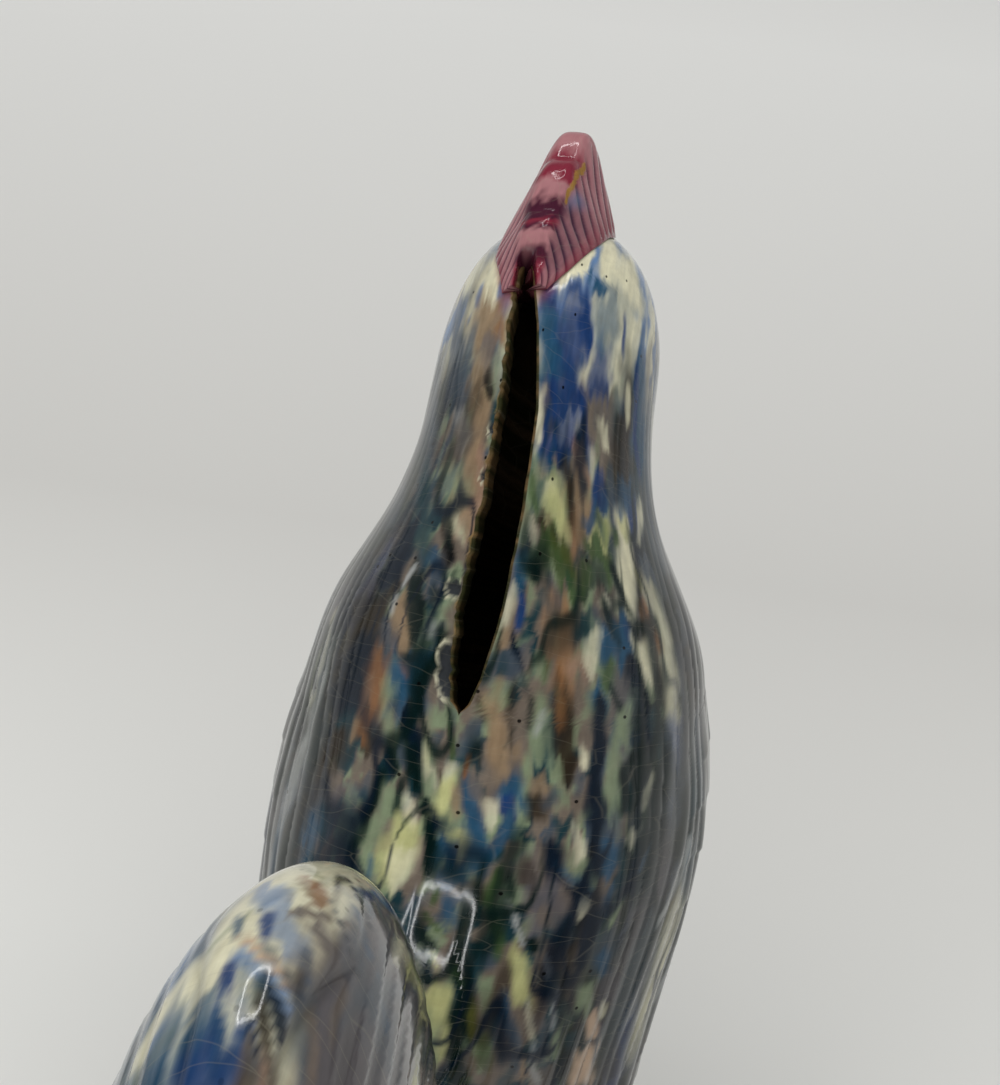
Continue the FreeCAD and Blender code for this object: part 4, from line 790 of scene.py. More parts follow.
def glaze_look(name, crazing=0.10, specks=1.0):
    """Material of the glazed pieces: the colour attribute, times streaks along the skin
    and fine clouding, both within a tenth of 1, under crossing craze lines of a middling
    grey that shows on dark and on pale glaze, and a few black pin-holes; clear gloss,
    dull where the attribute's last channel says that the clay is bare."""
    look = bpy.data.materials.new(name)
    look.use_nodes = True
    tree = look.node_tree
    link = tree.links.new
    bsdf = tree.nodes["Principled BSDF"]
    paint = node_of(tree, "ShaderNodeAttribute", attribute_name="glaze")
    place = node_of(tree, "ShaderNodeUVMap", uv_map="skin_mm")

    def scaled(x, y):
        """The skin's millimetres times a scale across and a scale along."""
        made = node_of(tree, "ShaderNodeMapping")
        made.inputs["Scale"].default_value = (x, y, 1.0)
        link(place.outputs[0], made.inputs["Vector"])
        return made.outputs[0]

    def noise_of(vector, detail):
        """Cloudy noise at that place, from 0 to 1, with that many finer layers."""
        made = node_of(tree, "ShaderNodeTexNoise")
        made.inputs["Scale"].default_value = 1.0
        made.inputs["Detail"].default_value = detail
        link(vector, made.inputs["Vector"])
        return made.outputs["Fac"]

    def spread(value, low, high, to_low, to_high):
        """A value between two limits, moved in a straight line to two others and held."""
        made = node_of(tree, "ShaderNodeMapRange")
        limits = {"From Min": low, "From Max": high, "To Min": to_low, "To Max": to_high}
        for socket, number in limits.items():
            made.inputs[socket].default_value = number
        link(value, made.inputs["Value"])
        return made.outputs[0]

    def toned(colour, factor):
        """A colour times a factor."""
        made = node_of(tree, "ShaderNodeMix", data_type="RGBA", blend_type="MULTIPLY")
        made.inputs["Factor"].default_value = 1.0
        link(colour, made.inputs["A"])
        link(factor, made.inputs["B"])
        return made.outputs["Result"]

    streaks = noise_of(scaled(1.4, 0.28), 4.0)
    cloud = noise_of(scaled(0.5, 0.5), 5.0)
    colour = toned(paint.outputs["Color"], spread(streaks, 0.3, 0.7, 0.94, 1.06))
    colour = toned(colour, spread(cloud, 0.3, 0.7, 0.90, 1.10))
    bend = node_of(tree, "ShaderNodeMixRGB", blend_type="ADD")
    bend.inputs["Fac"].default_value = 0.55
    noisy = node_of(tree, "ShaderNodeTexNoise")
    noisy.inputs["Scale"].default_value = 1.0
    link(scaled(0.16, 0.14), noisy.inputs["Vector"])
    link(scaled(0.10, 0.46), bend.inputs["Color1"])
    link(noisy.outputs["Color"], bend.inputs["Color2"])
    cells = node_of(tree, "ShaderNodeTexVoronoi", feature="DISTANCE_TO_EDGE", voronoi_dimensions="2D")
    cells.inputs["Scale"].default_value = 1.0
    link(bend.outputs[0], cells.inputs["Vector"])
    lines = node_of(tree, "ShaderNodeMix", data_type="RGBA")
    lines.inputs["B"].default_value = srgb(150, 145, 125)
    link(spread(cells.outputs["Distance"], 0.0, 0.03, crazing, 0.0), lines.inputs["Factor"])
    link(colour, lines.inputs["A"])
    colour = lines.outputs["Result"]
    dots = node_of(tree, "ShaderNodeTexVoronoi", feature="F1", voronoi_dimensions="2D")
    dots.inputs["Scale"].default_value = 0.17
    link(place.outputs[0], dots.inputs["Vector"])
    few = node_of(tree, "ShaderNodeSeparateColor")
    link(dots.outputs["Color"], few.inputs[0])
    far_dots = node_of(tree, "ShaderNodeMath", operation="ADD")
    link(dots.outputs["Distance"], far_dots.inputs[0])
    link(spread(few.outputs[0], 0.35, 0.36, 0.0, 1.0), far_dots.inputs[1])
    colour = toned(colour, spread(far_dots.outputs[0], 0.028, 0.045, 1.0 - 0.9 * specks, 1.0))
    link(colour, bsdf.inputs["Base Color"])
    link(spread(paint.outputs["Alpha"], 0.2, 0.8, 0.09, 0.75), bsdf.inputs["Roughness"])
    bump = node_of(tree, "ShaderNodeBump")
    bump.inputs["Strength"].default_value = 0.25
    bump.inputs["Distance"].default_value = 0.0001
    grain = noise_of(scaled(3.0, 3.0), 6.0)
    rough_grain = node_of(tree, "ShaderNodeMath", operation="MULTIPLY")
    link(grain, rough_grain.inputs[0])
    link(spread(paint.outputs["Alpha"], 0.1, 0.9, 0.12, 3.0), rough_grain.inputs[1])
    link(rough_grain.outputs[0], bump.inputs["Height"])
    link(bump.outputs[0], bsdf.inputs["Normal"])
    return look


def dress(piece, node, look):
    """Gives a new piece its material and puts it in place of its CAD node."""
    piece.data.materials.append(look)
    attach(piece, "root")
    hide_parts(node)


body_look = glaze_look("glaze_body")
for half_name, half_sign in (("left_body_half", 1.0), ("right_body_half", -1.0)):
    dress(body_half(half_name + "_dressed", half_sign), half_name, body_look)


# Wings: thin pads of clay sprigged on the flanks and modelled with rows of rounded
# coverts in front and long flight feathers behind; their upper edge melts into the back.
# Rows: station, then upper and lower edge as degrees of turn.
wing_rows = np.array([
    (6.55, 90.0, 91.0), (6.80, 71.0, 103.0), (7.40, 57.0, 106.0), (8.00, 48.0, 108.0),
    (8.60, 43.5, 110.2), (9.20, 41.2, 113.5), (9.80, 43.2, 115.5), (10.20, 48.0, 108.2),
    (10.60, 54.8, 94.2), (11.00, 61.5, 78.5), (11.25, 67.0, 68.0),
])
wing_lift, wing_under = 1.0, -0.6
over_count, under_count = 110, 30


def wing_marks(t, turn, share):
    """The feathers' own relief, 0 to 1: scallops of coverts in front that give way to
    long lapped flight feathers behind, none near the upper edge."""
    u, v = body_uv(t, turn)
    row = (v - 96.0 + 3.0 * np.cos(u / 9.0)) / 6.0
    scale_u = u / 5.2 + 0.5 * np.floor(row)
    scallop = (row - np.floor(row)) * (1.0 - (2.0 * (scale_u - np.floor(scale_u)) - 1.0) ** 2)
    quill = share * 7.0 + 0.05 * (v - 120.0)
    flight = smooth(8.3, 9.2, t)
    return (scallop * (1.0 - flight) + (quill - np.floor(quill)) * flight) * smooth(0.15, 0.5, share)


def wing_lift_at(t, turn, share):
    """Lift of the wing over the skin in mm: a pad that rises from just under it at its
    upper edge and its ends to its full thickness low down, rounded off at its lower edge,
    with the feathers' relief on top."""
    pad = wing_lift * smooth(0.0, 0.55, share) * smooth(0.0, 0.10, 1.0 - share) ** 0.5
    pad = pad * smooth(6.5, 7.5, t) * (1.0 - smooth(10.8, 11.3, t)) + 0.05
    pad = pad - 0.25 * (1.0 - smooth(0.0, 0.10, share))
    return pad * (0.78 + 0.24 * wing_marks(t, turn, share))


def wing(name, sign):
    """Closed pad: across the wing over its outer face from the upper to the lower edge,
    and back under the skin; its ends narrow to points."""
    t = np.interp(np.linspace(0, 1, 150), np.linspace(0, 1, len(wing_rows)), wing_rows[:, 0])[:, None]
    upper, lower = (np.radians(np.interp(t, wing_rows[:, 0], wing_rows[:, n])) for n in (1, 2))
    share = np.concatenate([np.linspace(0, 1, over_count), np.linspace(1, 0, under_count)[1:-1]])
    turn = (upper + (lower - upper) * share) * sign
    t_all, share_all = np.broadcast_to(t, turn.shape), np.broadcast_to(share, turn.shape)
    over = np.arange(len(share)) < over_count
    lift = wing_lift_at(t_all, np.abs(turn), share_all)
    lift = np.where(over & (share > 0) & (share < 1), lift, wing_under)
    base = np.where(over[:, None], body_outer(t_all, turn), body_skin(t_all, turn))
    points = base + outward(body_skin, t_all, turn) * lift[..., None]
    points[0], points[-1] = points[0].mean(axis=0), points[-1].mean(axis=0)
    normal = unit(np.cross(np.gradient(points, axis=1), np.gradient(points, axis=0))) * sign
    out = outward(body_skin, t_all, turn)
    normal = np.where(np.einsum("ijk,ijk->ij", normal, out)[..., None] > 0.05, normal, out)
    melt = smooth(0.05, 0.25, share_all)[..., None]
    normal = unit(outward(body_outer, t_all, turn) * (1.0 - melt) + normal * melt)
    normal[:, over_count:] = -out[:, over_count:]
    colour = np.ones(points.shape[:2] + (4,))
    # painted light and shade of the feathers: lighter on the raised coverts and quills, darker in their
    # low parts
    painted_feather_shading = wing_marks(t_all, np.abs(turn), share_all) - 0.4 * smooth(0.15, 0.5, share_all)
    colour[..., :3] = body_colour(t_all, turn) * (1.0 + 0.6 * painted_feather_shading[..., None])
    colour[..., 3] = 0.0
    return closed_mesh(name, points, normal, np.stack(body_uv(t_all, turn), -1), {"glaze": colour})


for wing_name, wing_sign in (("left_wing", 1.0), ("right_wing", -1.0)):
    dress(wing(wing_name + "_dressed", wing_sign), wing_name, body_look)


# Tail halves: the same thin clay, moulded as one arched plume and luted to the rump; a
# smooth brushed crest along the top, and side faces cut with long feather lines.
# Rows as the body's, as shares of its reach and height from its root on the rump.
tail_shares = np.array([
    (-0.070, -0.079, 0.000, -0.303, 0.286), (0.017, 0.231, 0.348, -0.183, 0.365),
    (0.104, 0.524, 0.574, 0.024, 0.426), (0.226, 0.783, 0.730, 0.197, 0.471),
    (0.400, 0.955, 0.835, 0.317, 0.500), (0.609, 0.998, 0.922, 0.369, 0.477),
    (0.817, 0.903, 0.974, 0.352, 0.396), (0.957, 0.697, 0.991, 0.300, 0.294),
    (1.000, 0.490, 1.000, 0.300, 0.176),
])
tail_root = body_skin(np.array(0.8462 * body_end), np.array(0.0))
tail_from = np.array([-tail_root[1], tail_root[2], -tail_root[1], tail_root[2], 0.0])
tail_rows = tail_shares * (-64.4, 70.0, -64.4, 70.0, 20.3) + tail_from
tail_end = len(tail_rows) - 1.0
tail_t = np.linspace(-dome, tail_end + dome, 200)
tail_path = two_rail(tail_rows, tail_t, tail_t * 0 + 0.6)
tail_steps = np.linalg.norm(np.diff(tail_path, axis=0), axis=-1)
tail_mm = np.concatenate([[0.0], np.cumsum(tail_steps)])
tail_round = 13.0
tail_count = 190


def tail_uv(t, turn):
    """Millimetres on the tail: across, the turn times a mean radius; along, its run."""
    return turn * tail_round, np.interp(t, tail_t, tail_mm)


def tail_skin(t, turn):
    """Bare skin of the tail in mm: the two-rail form of the tail's rows."""
    return two_rail(tail_rows, t, turn)


def tail_lines(t, turn):
    """The cut feather lines, 1 in a line and 0 between: long lines down each side face,
    close and wavy, and one deeper curve that parts them from the smooth crest."""
    u, v = tail_uv(t, turn)
    side = np.abs(turn)
    phase = u / 1.9 + 0.5 * noise(u / 5.0, v / 16.0, 61) + 0.05 * (v - 60.0)
    fine = smooth(0.55, 1.0, np.abs(np.cos(np.pi * phase))) * smooth(0.42, 0.62, side)
    border = 0.25 + 0.21 * np.exp(-(((t - 4.15) / 0.55) ** 2))
    deep = np.exp(-(((side - border) / 0.035) ** 2)) * smooth(3.5, 3.8, t) * (1.0 - smooth(6.5, 7.5, t))
    return fine, deep


def tail_outer(t, turn):
    """The tail's skin, lifted by slow unevenness and lowered in its cut lines, in mm."""
    u, v = tail_uv(t, turn)
    fine, deep = tail_lines(t, turn)
    ends = smooth(-0.2, 0.4, t) * (1.0 - smooth(7.5, 8.1, t))
    lift = 0.22 * noise(u / 9.0, v / 13.0, 62) - 0.11 * fine - 0.14 * deep
    return tail_skin(t, turn) + outward(tail_skin, t, turn) * (ends * lift)[..., None]
tail_dabs = [
    ("cream", 4.60, 24, 4.2, 3.6, 0.79, 0.90), ("cream", 4.39, 9, 5.7, 2.7, -0.05, 0.70),
    ("slate", 4.30, 42, 2.6, 1.0, 0.90, 0.60), ("sage", 4.36, 16, 2.5, 0.8, 0.73, 0.50),
    ("sky", 4.15, 7, 3.1, 1.7, -0.21, 0.80), ("sky", 4.38, -2, 2.5, 2.1, -0.33, 0.70),
    ("cobalt", 4.42, 2, 2.5, 1.1, -0.35, 0.90), ("azure", 4.36, 14, 2.5, 0.7, -0.35, 0.80),
    ("green", 3.78, 0, 2.5, 0.9, -0.80, 0.40), ("rust", 4.01, -7, 2.7, 1.5, -0.27, 0.85),
    ("tan", 4.10, -5, 2.5, 0.8, -0.44, 0.70), ("coal", 3.83, -12, 3.2, 0.7, -0.25, 0.80),
    ("umber", 3.95, -14, 3.4, 0.7, 0.06, 0.50), ("cream", 4.17, -8, 2.5, 0.7, -1.20, 0.90),
    ("taupe", 4.21, -10, 2.5, 1.7, 1.20, 0.90), ("mauve", 4.35, -16, 2.5, 2.1, -1.20, 0.90),
    ("peach", 4.57, 0, 2.5, 1.0, -1.20, 0.90), ("cream", 4.53, 12, 2.5, 0.7, -1.20, 0.90),
    ("cream", 4.66, 22, 2.8, 1.0, 0.33, 0.90), ("cobalt", 4.73, 8, 2.8, 1.2, -0.16, 0.95),
    ("sky", 4.67, -2, 2.5, 1.6, -1.20, 0.80), ("azure", 4.82, 15, 2.7, 1.5, 0.07, 0.85),
    ("azure", 4.52, -12, 2.5, 1.0, -0.53, 0.85), ("slate", 4.65, -11, 2.5, 1.4, -0.95, 0.80),
    ("coal", 4.64, -14, 2.5, 0.7, -0.40, 0.80), ("navy", 4.77, -8, 2.5, 1.1, -0.55, 0.90),
    ("teal", 4.78, -4, 2.5, 0.7, -0.26, 0.60), ("umber", 4.88, -7, 2.5, 0.7, -0.32, 0.80),
    ("mist", 4.90, 0, 2.5, 1.2, -0.11, 0.80), ("cream", 4.90, 4, 2.5, 0.7, -0.31, 0.50),
    ("azure", 5.04, 12, 3.7, 1.4, -0.13, 0.85), ("cobalt", 5.00, 6, 3.9, 0.8, -0.27, 0.90),
    ("azure", 4.74, 2, 2.5, 0.8, -0.30, 0.50), ("cobalt", 5.01, -3, 2.5, 1.2, 0.07, 0.90),
    ("navy", 5.01, -6, 2.5, 0.7, -0.43, 0.90), ("cobalt", 5.14, -2, 2.5, 1.1, -0.25, 0.90),
    ("mist", 5.09, -7, 2.5, 1.0, -0.17, 0.70), ("yellow", 4.88, 24, 2.5, 1.8, 0.82, 0.85),
    ("cream", 4.93, 18, 2.5, 0.7, 0.21, 0.60), ("navy", 5.05, 22, 2.5, 1.2, 0.23, 0.90),
    ("bottle", 4.99, 29, 2.5, 1.1, -0.20, 0.90), ("slate", 4.53, 50, 2.5, 1.0, -0.07, 0.70),
    ("teal", 4.75, 42, 2.5, 0.7, -0.08, 0.50), ("taupe", 5.00, -11, 2.7, 1.1, -0.20, 0.80),
    ("blush", 5.06, -10, 2.5, 0.7, -0.23, 0.50), ("mauve", 4.64, -20, 5.1, 2.6, -0.02, 0.80),
    ("slate", 4.84, -19, 4.1, 1.5, -0.26, 0.60), ("taupe", 4.56, -26, 3.7, 0.8, -0.10, 0.70),
    ("tan", 4.89, -24, 2.5, 1.0, -0.42, 0.40), ("navy", 3.82, -22, 2.5, 0.7, -1.20, 0.95),
    ("cream", 3.95, -16, 3.2, 0.7, -0.20, 0.70), ("tan", 3.64, -23, 2.5, 0.7, -0.55, 0.60),
    ("umber", 3.66, -22, 2.5, 0.7, -1.20, 0.60), ("cobalt", 3.40, -20, 9.6, 1.0, 0.17, 0.95),
    ("azure", 2.94, -28, 2.5, 1.3, 1.13, 0.95), ("cream", 3.39, -32, 3.2, 0.8, -0.88, 0.90),
    ("yellow", 3.42, -39, 2.5, 1.0, -1.20, 0.90), ("azure", 4.03, -28, 2.5, 1.4, -1.20, 0.60),
    ("slate", 4.20, -30, 2.5, 1.4, -0.82, 0.80), ("navy", 4.17, -21, 2.5, 0.7, -1.20, 0.70),
    ("slate", 4.06, -36, 8.5, 1.1, 0.36, 0.85), ("mauve", 4.42, -38, 4.5, 2.2, -0.34, 0.80),
    ("slate", 4.14, -42, 4.5, 1.3, -0.41, 0.70), ("navy", 3.93, -46, 8.4, 0.7, -0.34, 0.80),
    ("azure", 3.38, -45, 2.8, 0.9, 0.31, 0.50), ("bottle", 2.78, -39, 2.5, 1.0, 1.20, 0.95),
    ("cream", 2.71, -42, 2.6, 0.7, 0.76, 0.80), ("yellow", 3.59, -53, 18.8, 1.3, -0.24, 0.85),
    ("sage", 2.51, -53, 6.7, 1.0, -0.72, 0.70), ("slate", 3.75, -55, 3.3, 0.7, -0.42, 0.50),
    ("bottle", 2.48, -54, 5.0, 0.8, 0.69, 0.80),
    ("azure", 5.15, 12, 8.0, 5.0, -0.10, 0.70), ("cobalt", 5.35, 6, 9.0, 2.6, -0.10, 0.85),
    ("azure", 4.85, 24, 5.0, 2.6, 0.20, 0.75), ("cobalt", 5.75, 20, 8.0, 3.5, 0.00, 0.80),
    ("navy", 5.95, 8, 7.0, 2.5, 0.00, 0.80), ("bottle", 5.70, 42, 9.0, 4.0, 0.10, 0.80),
    ("slate", 5.20, 40, 7.0, 3.0, 0.20, 0.60), ("tan", 5.35, -10, 8.0, 3.0, 0.00, 0.70),
    ("umber", 5.15, -6, 4.0, 1.2, 0.00, 0.70), ("taupe", 4.35, -14, 4.5, 2.6, 0.10, 0.60),
    ("yellow", 3.10, -42, 10.0, 3.0, 0.00, 0.85), ("cream", 3.45, -36, 6.0, 2.0, 0.00, 0.80),
    ("bottle", 3.20, -56, 14.0, 4.0, 0.00, 0.80),
    ("teal", 5.50, 58, 10.0, 4.0, 0.00, 0.75), ("azure", 4.95, 48, 8.0, 2.6, 0.10, 0.70),
]


def tail_colour(t, turn):
    """Colour of the tail: cream on the crest and bird's left, mauve-grey on its right
    face, seeded dabs down both sides, the listed dabs, painted shade in the cut lines, and
    the same parting of dark from pale as the body's."""
    u, v = tail_uv(t, turn)
    cream, mauve = glaze_rgb("cream"), glaze_rgb("mauve")
    face = smooth(0.28, 0.50, -turn + 0.08 * noise(u / 3.0, v / 6.0, 63))[..., None]
    shade = mottle(u, v, ("azure", "sky", "cobalt", "slate", "azure", "cream"), 2.0, 85)
    aside = np.abs(turn) + 0.1 * noise(u / 2.0, v / 5.0, 86)
    colour = cream + (shade - cream) * smooth(0.22, 0.55, aside)[..., None]
    colour = colour + (mauve - colour) * face
    colour = dab_all(colour, tail_skin, tail_uv, t, turn, tail_loose + tail_dabs)
    fine, deep = tail_lines(t, turn)
    light = np.maximum(colour.mean(axis=-1), 0.001)
    # painted shade: the glaze is darkened in the fine cut lines and more in the deep one
    tone_with_painted_shade = 1.0 - 0.22 * fine - 0.35 * deep + 0.05 * noise(u / 0.8, v / 3.0, 64)
    tone_with_painted_shade = tone_with_painted_shade * np.clip((light / 0.12) ** 0.3, 0.4, 1.1)
    return np.clip(colour * tone_with_painted_shade[..., None], 0.0, 1.0)


tail_loose = []
tail_loose_count = 110
for n in range(tail_loose_count):
    at_t, degrees = 0.5 + 7.6 * n / tail_loose_count, pick.uniform(-180.0, 180.0)
    names = ("slate", "navy", "teal", "azure", "taupe", "mauve", "cobalt", "bottle", "sky", "cream")
    if abs(degrees) < 25.0:
        names = ("cream", "sky", "azure", "tan", "cobalt", "navy")
    if -70.0 < degrees < -20.0 and at_t < 5.5:
        names = ("mauve", "slate", "mauve", "taupe")
    tail_loose.append((names[pick.integers(len(names))], at_t, degrees, pick.uniform(4.0, 10.0),
                       pick.uniform(1.5, 3.6), pick.uniform(-0.2, 0.2), pick.uniform(0.4, 0.9)))


def tail_half(name, sign):
    """Closed half: over the skin from the crest to the under edge and straight back up
    the joint face; both ends are domed to a point."""
    dome_t = dome * np.sin(np.linspace(np.pi / 2, 0, 9))
    stations = np.linspace(0, tail_end, 175)
    t = np.concatenate([-dome_t[:-1], stations, tail_end + dome_t[::-1][1:]])[:, None]
    turn = sign * np.pi * np.broadcast_to(np.linspace(0, 1, tail_count), (len(t), tail_count))
    t_all = np.broadcast_to(t, turn.shape)
    skin = tail_outer(t_all, turn)
    skin[:, [0, -1], 0] = 0.0
    normal = outward(tail_outer, t_all, turn)
    down = np.linspace(0, 1, 8)[1:-1, None]
    joint = skin[:, -1:] + (skin[:, :1] - skin[:, -1:]) * down
    joint_normal = np.zeros(joint.shape) + (-sign, 0.0, 0.0)
    points = np.concatenate([skin, joint], axis=1)
    points[0], points[-1] = points[0, 0], points[-1, 0]
    normals = np.concatenate([normal, joint_normal], axis=1)
    middle = tail_skin(np.clip(t, 0.3, tail_end - 0.3), t * 0 + np.pi / 2) * (0, 1, 1)
    weak = np.linalg.norm(normals, axis=-1, keepdims=True) < 0.5
    normals = np.where(weak, unit(points - middle), normals)
    all_turn = np.concatenate([turn, np.repeat(turn[:, -1:], len(down), axis=1)], axis=1)
    uv = np.stack(tail_uv(np.broadcast_to(t, all_turn.shape), all_turn), -1)
    colour = np.zeros(points.shape[:2] + (4,))
    colour[:, :tail_count, :3] = tail_colour(t_all, turn)
    return closed_mesh(name, points, normals, uv, {"glaze": colour})


tail_look = glaze_look("glaze_tail", crazing=0.14, specks=0.3)
for tail_name, tail_sign in (("left_tail_half", 1.0), ("right_tail_half", -1.0)):
    dress(tail_half(tail_name + "_dressed", tail_sign), tail_name, tail_look)


# Comb: a thick wedge of clay pressed along the crown, ribbed down both sides with a
# round tool and notched into low teeth, glazed red and pink; its ridge is chipped.
# Rows: rise, half width at the seat and at the ridge, shift of each to the bird's left.
comb_places = np.array([0.00, 0.12, 0.25, 0.38, 0.50, 0.62, 0.75, 0.88, 1.00])
comb_rows = np.array([
    (0.12, 0.22, 0.32, 1.00, 1.00), (0.24, 0.35, 0.38, 0.80, 0.98), (0.37, 0.46, 0.44, 0.69, 0.90),
    (0.57, 0.51, 0.50, 0.48, 0.66), (0.76, 0.53, 0.53, 0.34, 0.44), (0.90, 0.52, 0.54, 0.14, 0.20),
    (0.82, 0.43, 0.50, 0.00, 0.05), (0.48, 0.34, 0.40, 0.00, 0.00), (0.10, 0.20, 0.26, 0.00, 0.00),
]) * (12.0, 13.0, 5.6, 3.2, 3.2)
comb_rear, comb_front = 3.08, 0.35
comb_sections, comb_round = 240, 120


def comb_ribs(u, share):
    """Height of the comb's ribs, 0 in a groove to 1 on a rib: a root of the cosine of the
    place along it, leaning back towards the ridge."""
    return np.abs(np.cos(np.pi * 17.0 * (u + 0.16 * (1.0 - share)) + 0.4)) ** 0.7


def comb_place(u, turn):
    """Point of the comb: u runs from its rear end forward, turn goes round the section.
    It stands on the head's skin at a side offset, root of the sine of the turn times a
    width that narrows from seat to ridge, and rises along the crown's outward line."""
    rise, seat_half, ridge_half, seat_shift, ridge_shift = np.moveaxis(
        curve(comb_rows, np.interp(u, comb_places, np.arange(9.0))), -1, 0)
    t = comb_rear + (comb_front - comb_rear) * u
    share = np.clip(((1.0 + np.cos(turn)) / 2.0 - 0.3) / 0.7, 0.0, 1.0)
    teeth = 0.5 + 0.5 * np.cos(2 * np.pi * 5 * u)
    rise = rise - 1.1 * (1.0 - teeth ** 0.6)
    ribs = comb_ribs(u, share)
    face = smooth(0.0, 0.18, 1.0 - share) * smooth(0.0, 0.12, share)
    half = ridge_half + (seat_half - ridge_half) * (1.0 - share) ** 1.6
    bulge = (ribs - 0.6) * 0.34 * face
    side = np.sign(np.sin(turn)) * np.abs(np.sin(turn)) ** 0.42 * (half + bulge)
    side = side + seat_shift + (ridge_shift - seat_shift) * share
    lift = 0.2 + rise * share
    slot_half, slot_shift, _ = slot_lines(t)
    over_slot = smooth(-0.5, 0.15, slot_half - np.abs(side - slot_shift)) * smooth(2.68, 2.78, t)
    lift = lift - over_slot * (lift + 2.6 + 0.3 * (share <= 0))
    head_half = curve(body_rows, t)[..., 4]
    seat = body_skin(t, np.arcsin(np.clip(side / head_half, -0.95, 0.95)))
    return seat + outward(body_skin, t, t * 0) * lift[..., None], share, side, over_slot


# glazes along the ridge, from the rear end forward
comb_bands = [
    (0.00, "crimson"), (0.08, "crimson"), (0.12, "maroon"), (0.15, "pink"), (0.20, "pink"),
    (0.215, "maroon"), (0.245, "crimson"), (0.265, "maroon"), (0.32, "maroon"), (0.34, "pink"),
    (0.375, "pink"), (0.40, "crimson"), (0.50, "crimson"), (0.54, "pink"), (0.70, "pink"),
    (1.00, "crimson"),
]


def comb():
    """Closed form of many sections, drawn in to a point at each end. Its colour goes by
    bands along the ridge and by ribs down the sides, a pink painted highlight on each rib and
    maroon painted shade beside it, with a navy run, a pale streak, a crimson foot and a chip
    bared to the clay; where its rear dips into the slot it is painted near black as shade."""
    u = np.concatenate([[0.0], np.linspace(0, 1, comb_sections), [1.0]])[:, None]
    turn = np.linspace(0, 2 * np.pi, comb_round, endpoint=False)
    turn = np.broadcast_to(turn, (len(u), comb_round))
    u_all = np.broadcast_to(u, turn.shape)
    points, share, side, over_slot = comb_place(u_all, turn)
    points[0], points[-1] = points[1].mean(axis=0), points[-2].mean(axis=0)
    normal = unit(np.cross(np.roll(points, -1, 1) - np.roll(points, 1, 1), np.gradient(points, axis=0)))
    mid = points.mean(axis=1, keepdims=True)
    normal = normal * np.sign(np.einsum("ijk,ijk->ij", normal, points - mid).sum())
    normal[0] = unit(points[0] - points[3].mean(axis=0))
    normal[-1] = unit(points[-1] - points[-4].mean(axis=0))
    at = np.array([place for place, _ in comb_bands])
    shades = np.array([glaze_rgb(name) for _, name in comb_bands])
    x, y = side, u_all * 33.0
    shaken = u_all + 0.012 * noise(x / 0.8, y / 0.9, 71) + 0.01 * noise(x / 0.4, y / 0.5, 72)
    colour = np.stack([np.interp(shaken, at, shades[:, n]) for n in range(3)], -1)
    ribs = comb_ribs(u_all, share)
    pink, maroon, navy, ochre = (glaze_rgb(name) for name in ("pink", "maroon", "navy", "ochre"))
    right = turn > np.pi
    flank = smooth(0.06, 0.3, 1.0 - share)[..., None]
    # painted highlight and shade of the ribs: pink on each rib, maroon in the grooves beside it
    sides = maroon * 1.4 + (pink * 0.9 - maroon) * smooth(0.25, 0.85, ribs)[..., None]
    run = smooth(0.45, 0.30, u_all) * smooth(0.02, 0.10, u_all) * right * smooth(0.12, 0.3, share)
    sides = sides + (navy - sides) * (run * 0.55 * (1.1 - 0.5 * ribs))[..., None]
    pale = np.exp(-(((u_all - 0.33 - 0.12 * (1 - share)) / 0.03) ** 2)) * right
    pale = pale * smooth(0.35, 0.7, share)
    sides = sides + (glaze_rgb("sky") - sides) * 0.6 * pale[..., None]
    foot = smooth(0.35, 0.0, share)[..., None]
    sides = sides + (glaze_rgb("crimson") * 0.9 - sides) * foot * 0.7
    colour = colour + (sides - colour) * flank
    from_chip = turn - 2 * np.pi + 0.62 + 0.05 * noise(y / 1.2, y * 0, 73)
    chip = np.exp(-((from_chip / 0.11) ** 2)) * smooth(0.31, 0.35, u_all)
    chip = chip * (1 - smooth(0.50, 0.54, u_all))
    bare = smooth(0.35, 0.6, chip + 0.2 * noise(x / 0.35, y / 0.35, 74))
    colour = colour + (ochre - colour) * bare[..., None]
    # painted shade: where the comb's rear dips into the coin slot it is darkened almost to black
    colour = colour * (1.0 - 0.97 * smooth(0.3, 0.8, over_slot))[..., None]
    full = np.concatenate([np.clip(colour, 0, 1), bare[..., None]], -1)
    return closed_mesh("comb_dressed", points, normal, np.stack([turn * 6.0, y], -1), {"glaze": full})


dress(comb(), "comb", glaze_look("glaze_red", crazing=0.12, specks=0.0))


# Thighs, shanks and stump: solid and hollow posts of clay luted between the belly and the
# base while damp. The thighs are pressed with short feathers, the shanks ringed with
# scutes by a knife, the stump combed like bark; its bore lets it dry. Sizes in mm.
mound_rim, mound_middle, mound_radius = 8.0, 15.0, 34.0
patch_t, patch_turn = np.meshgrid(np.linspace(3.0, 12.0, 90), np.linspace(-np.pi, np.pi, 121),
                                  indexing="ij")
patch = body_skin(patch_t, patch_turn).reshape(-1, 3)
patch_out = outward(body_skin, patch_t, patch_turn).reshape(-1, 3)


def sunk(points, depth=1.2):
    """Points held to a small depth under the bird's skin: each finds the nearest point of
    the skin, and one that lies deeper is moved out along the skin's outward line."""
    flat = points.reshape(-1, 3)
    near = np.argmin((patch**2).sum(-1) - 2.0 * flat @ patch.T, axis=1)
    out = patch_out[near]
    below = np.einsum("ij,ij->i", flat - patch[near], out)
    return (flat + out * np.maximum(0.0, -depth - below)[:, None]).reshape(points.shape)


def mound_top(reach):
    """Height of the domed base: the rim height plus the rest times the cosine of a
    quarter turn times the distance from the middle as a share of the radius."""
    share = np.clip(reach / mound_radius, 0, 1)
    return mound_rim + (mound_middle - mound_rim) * np.cos(np.pi / 2 * share)


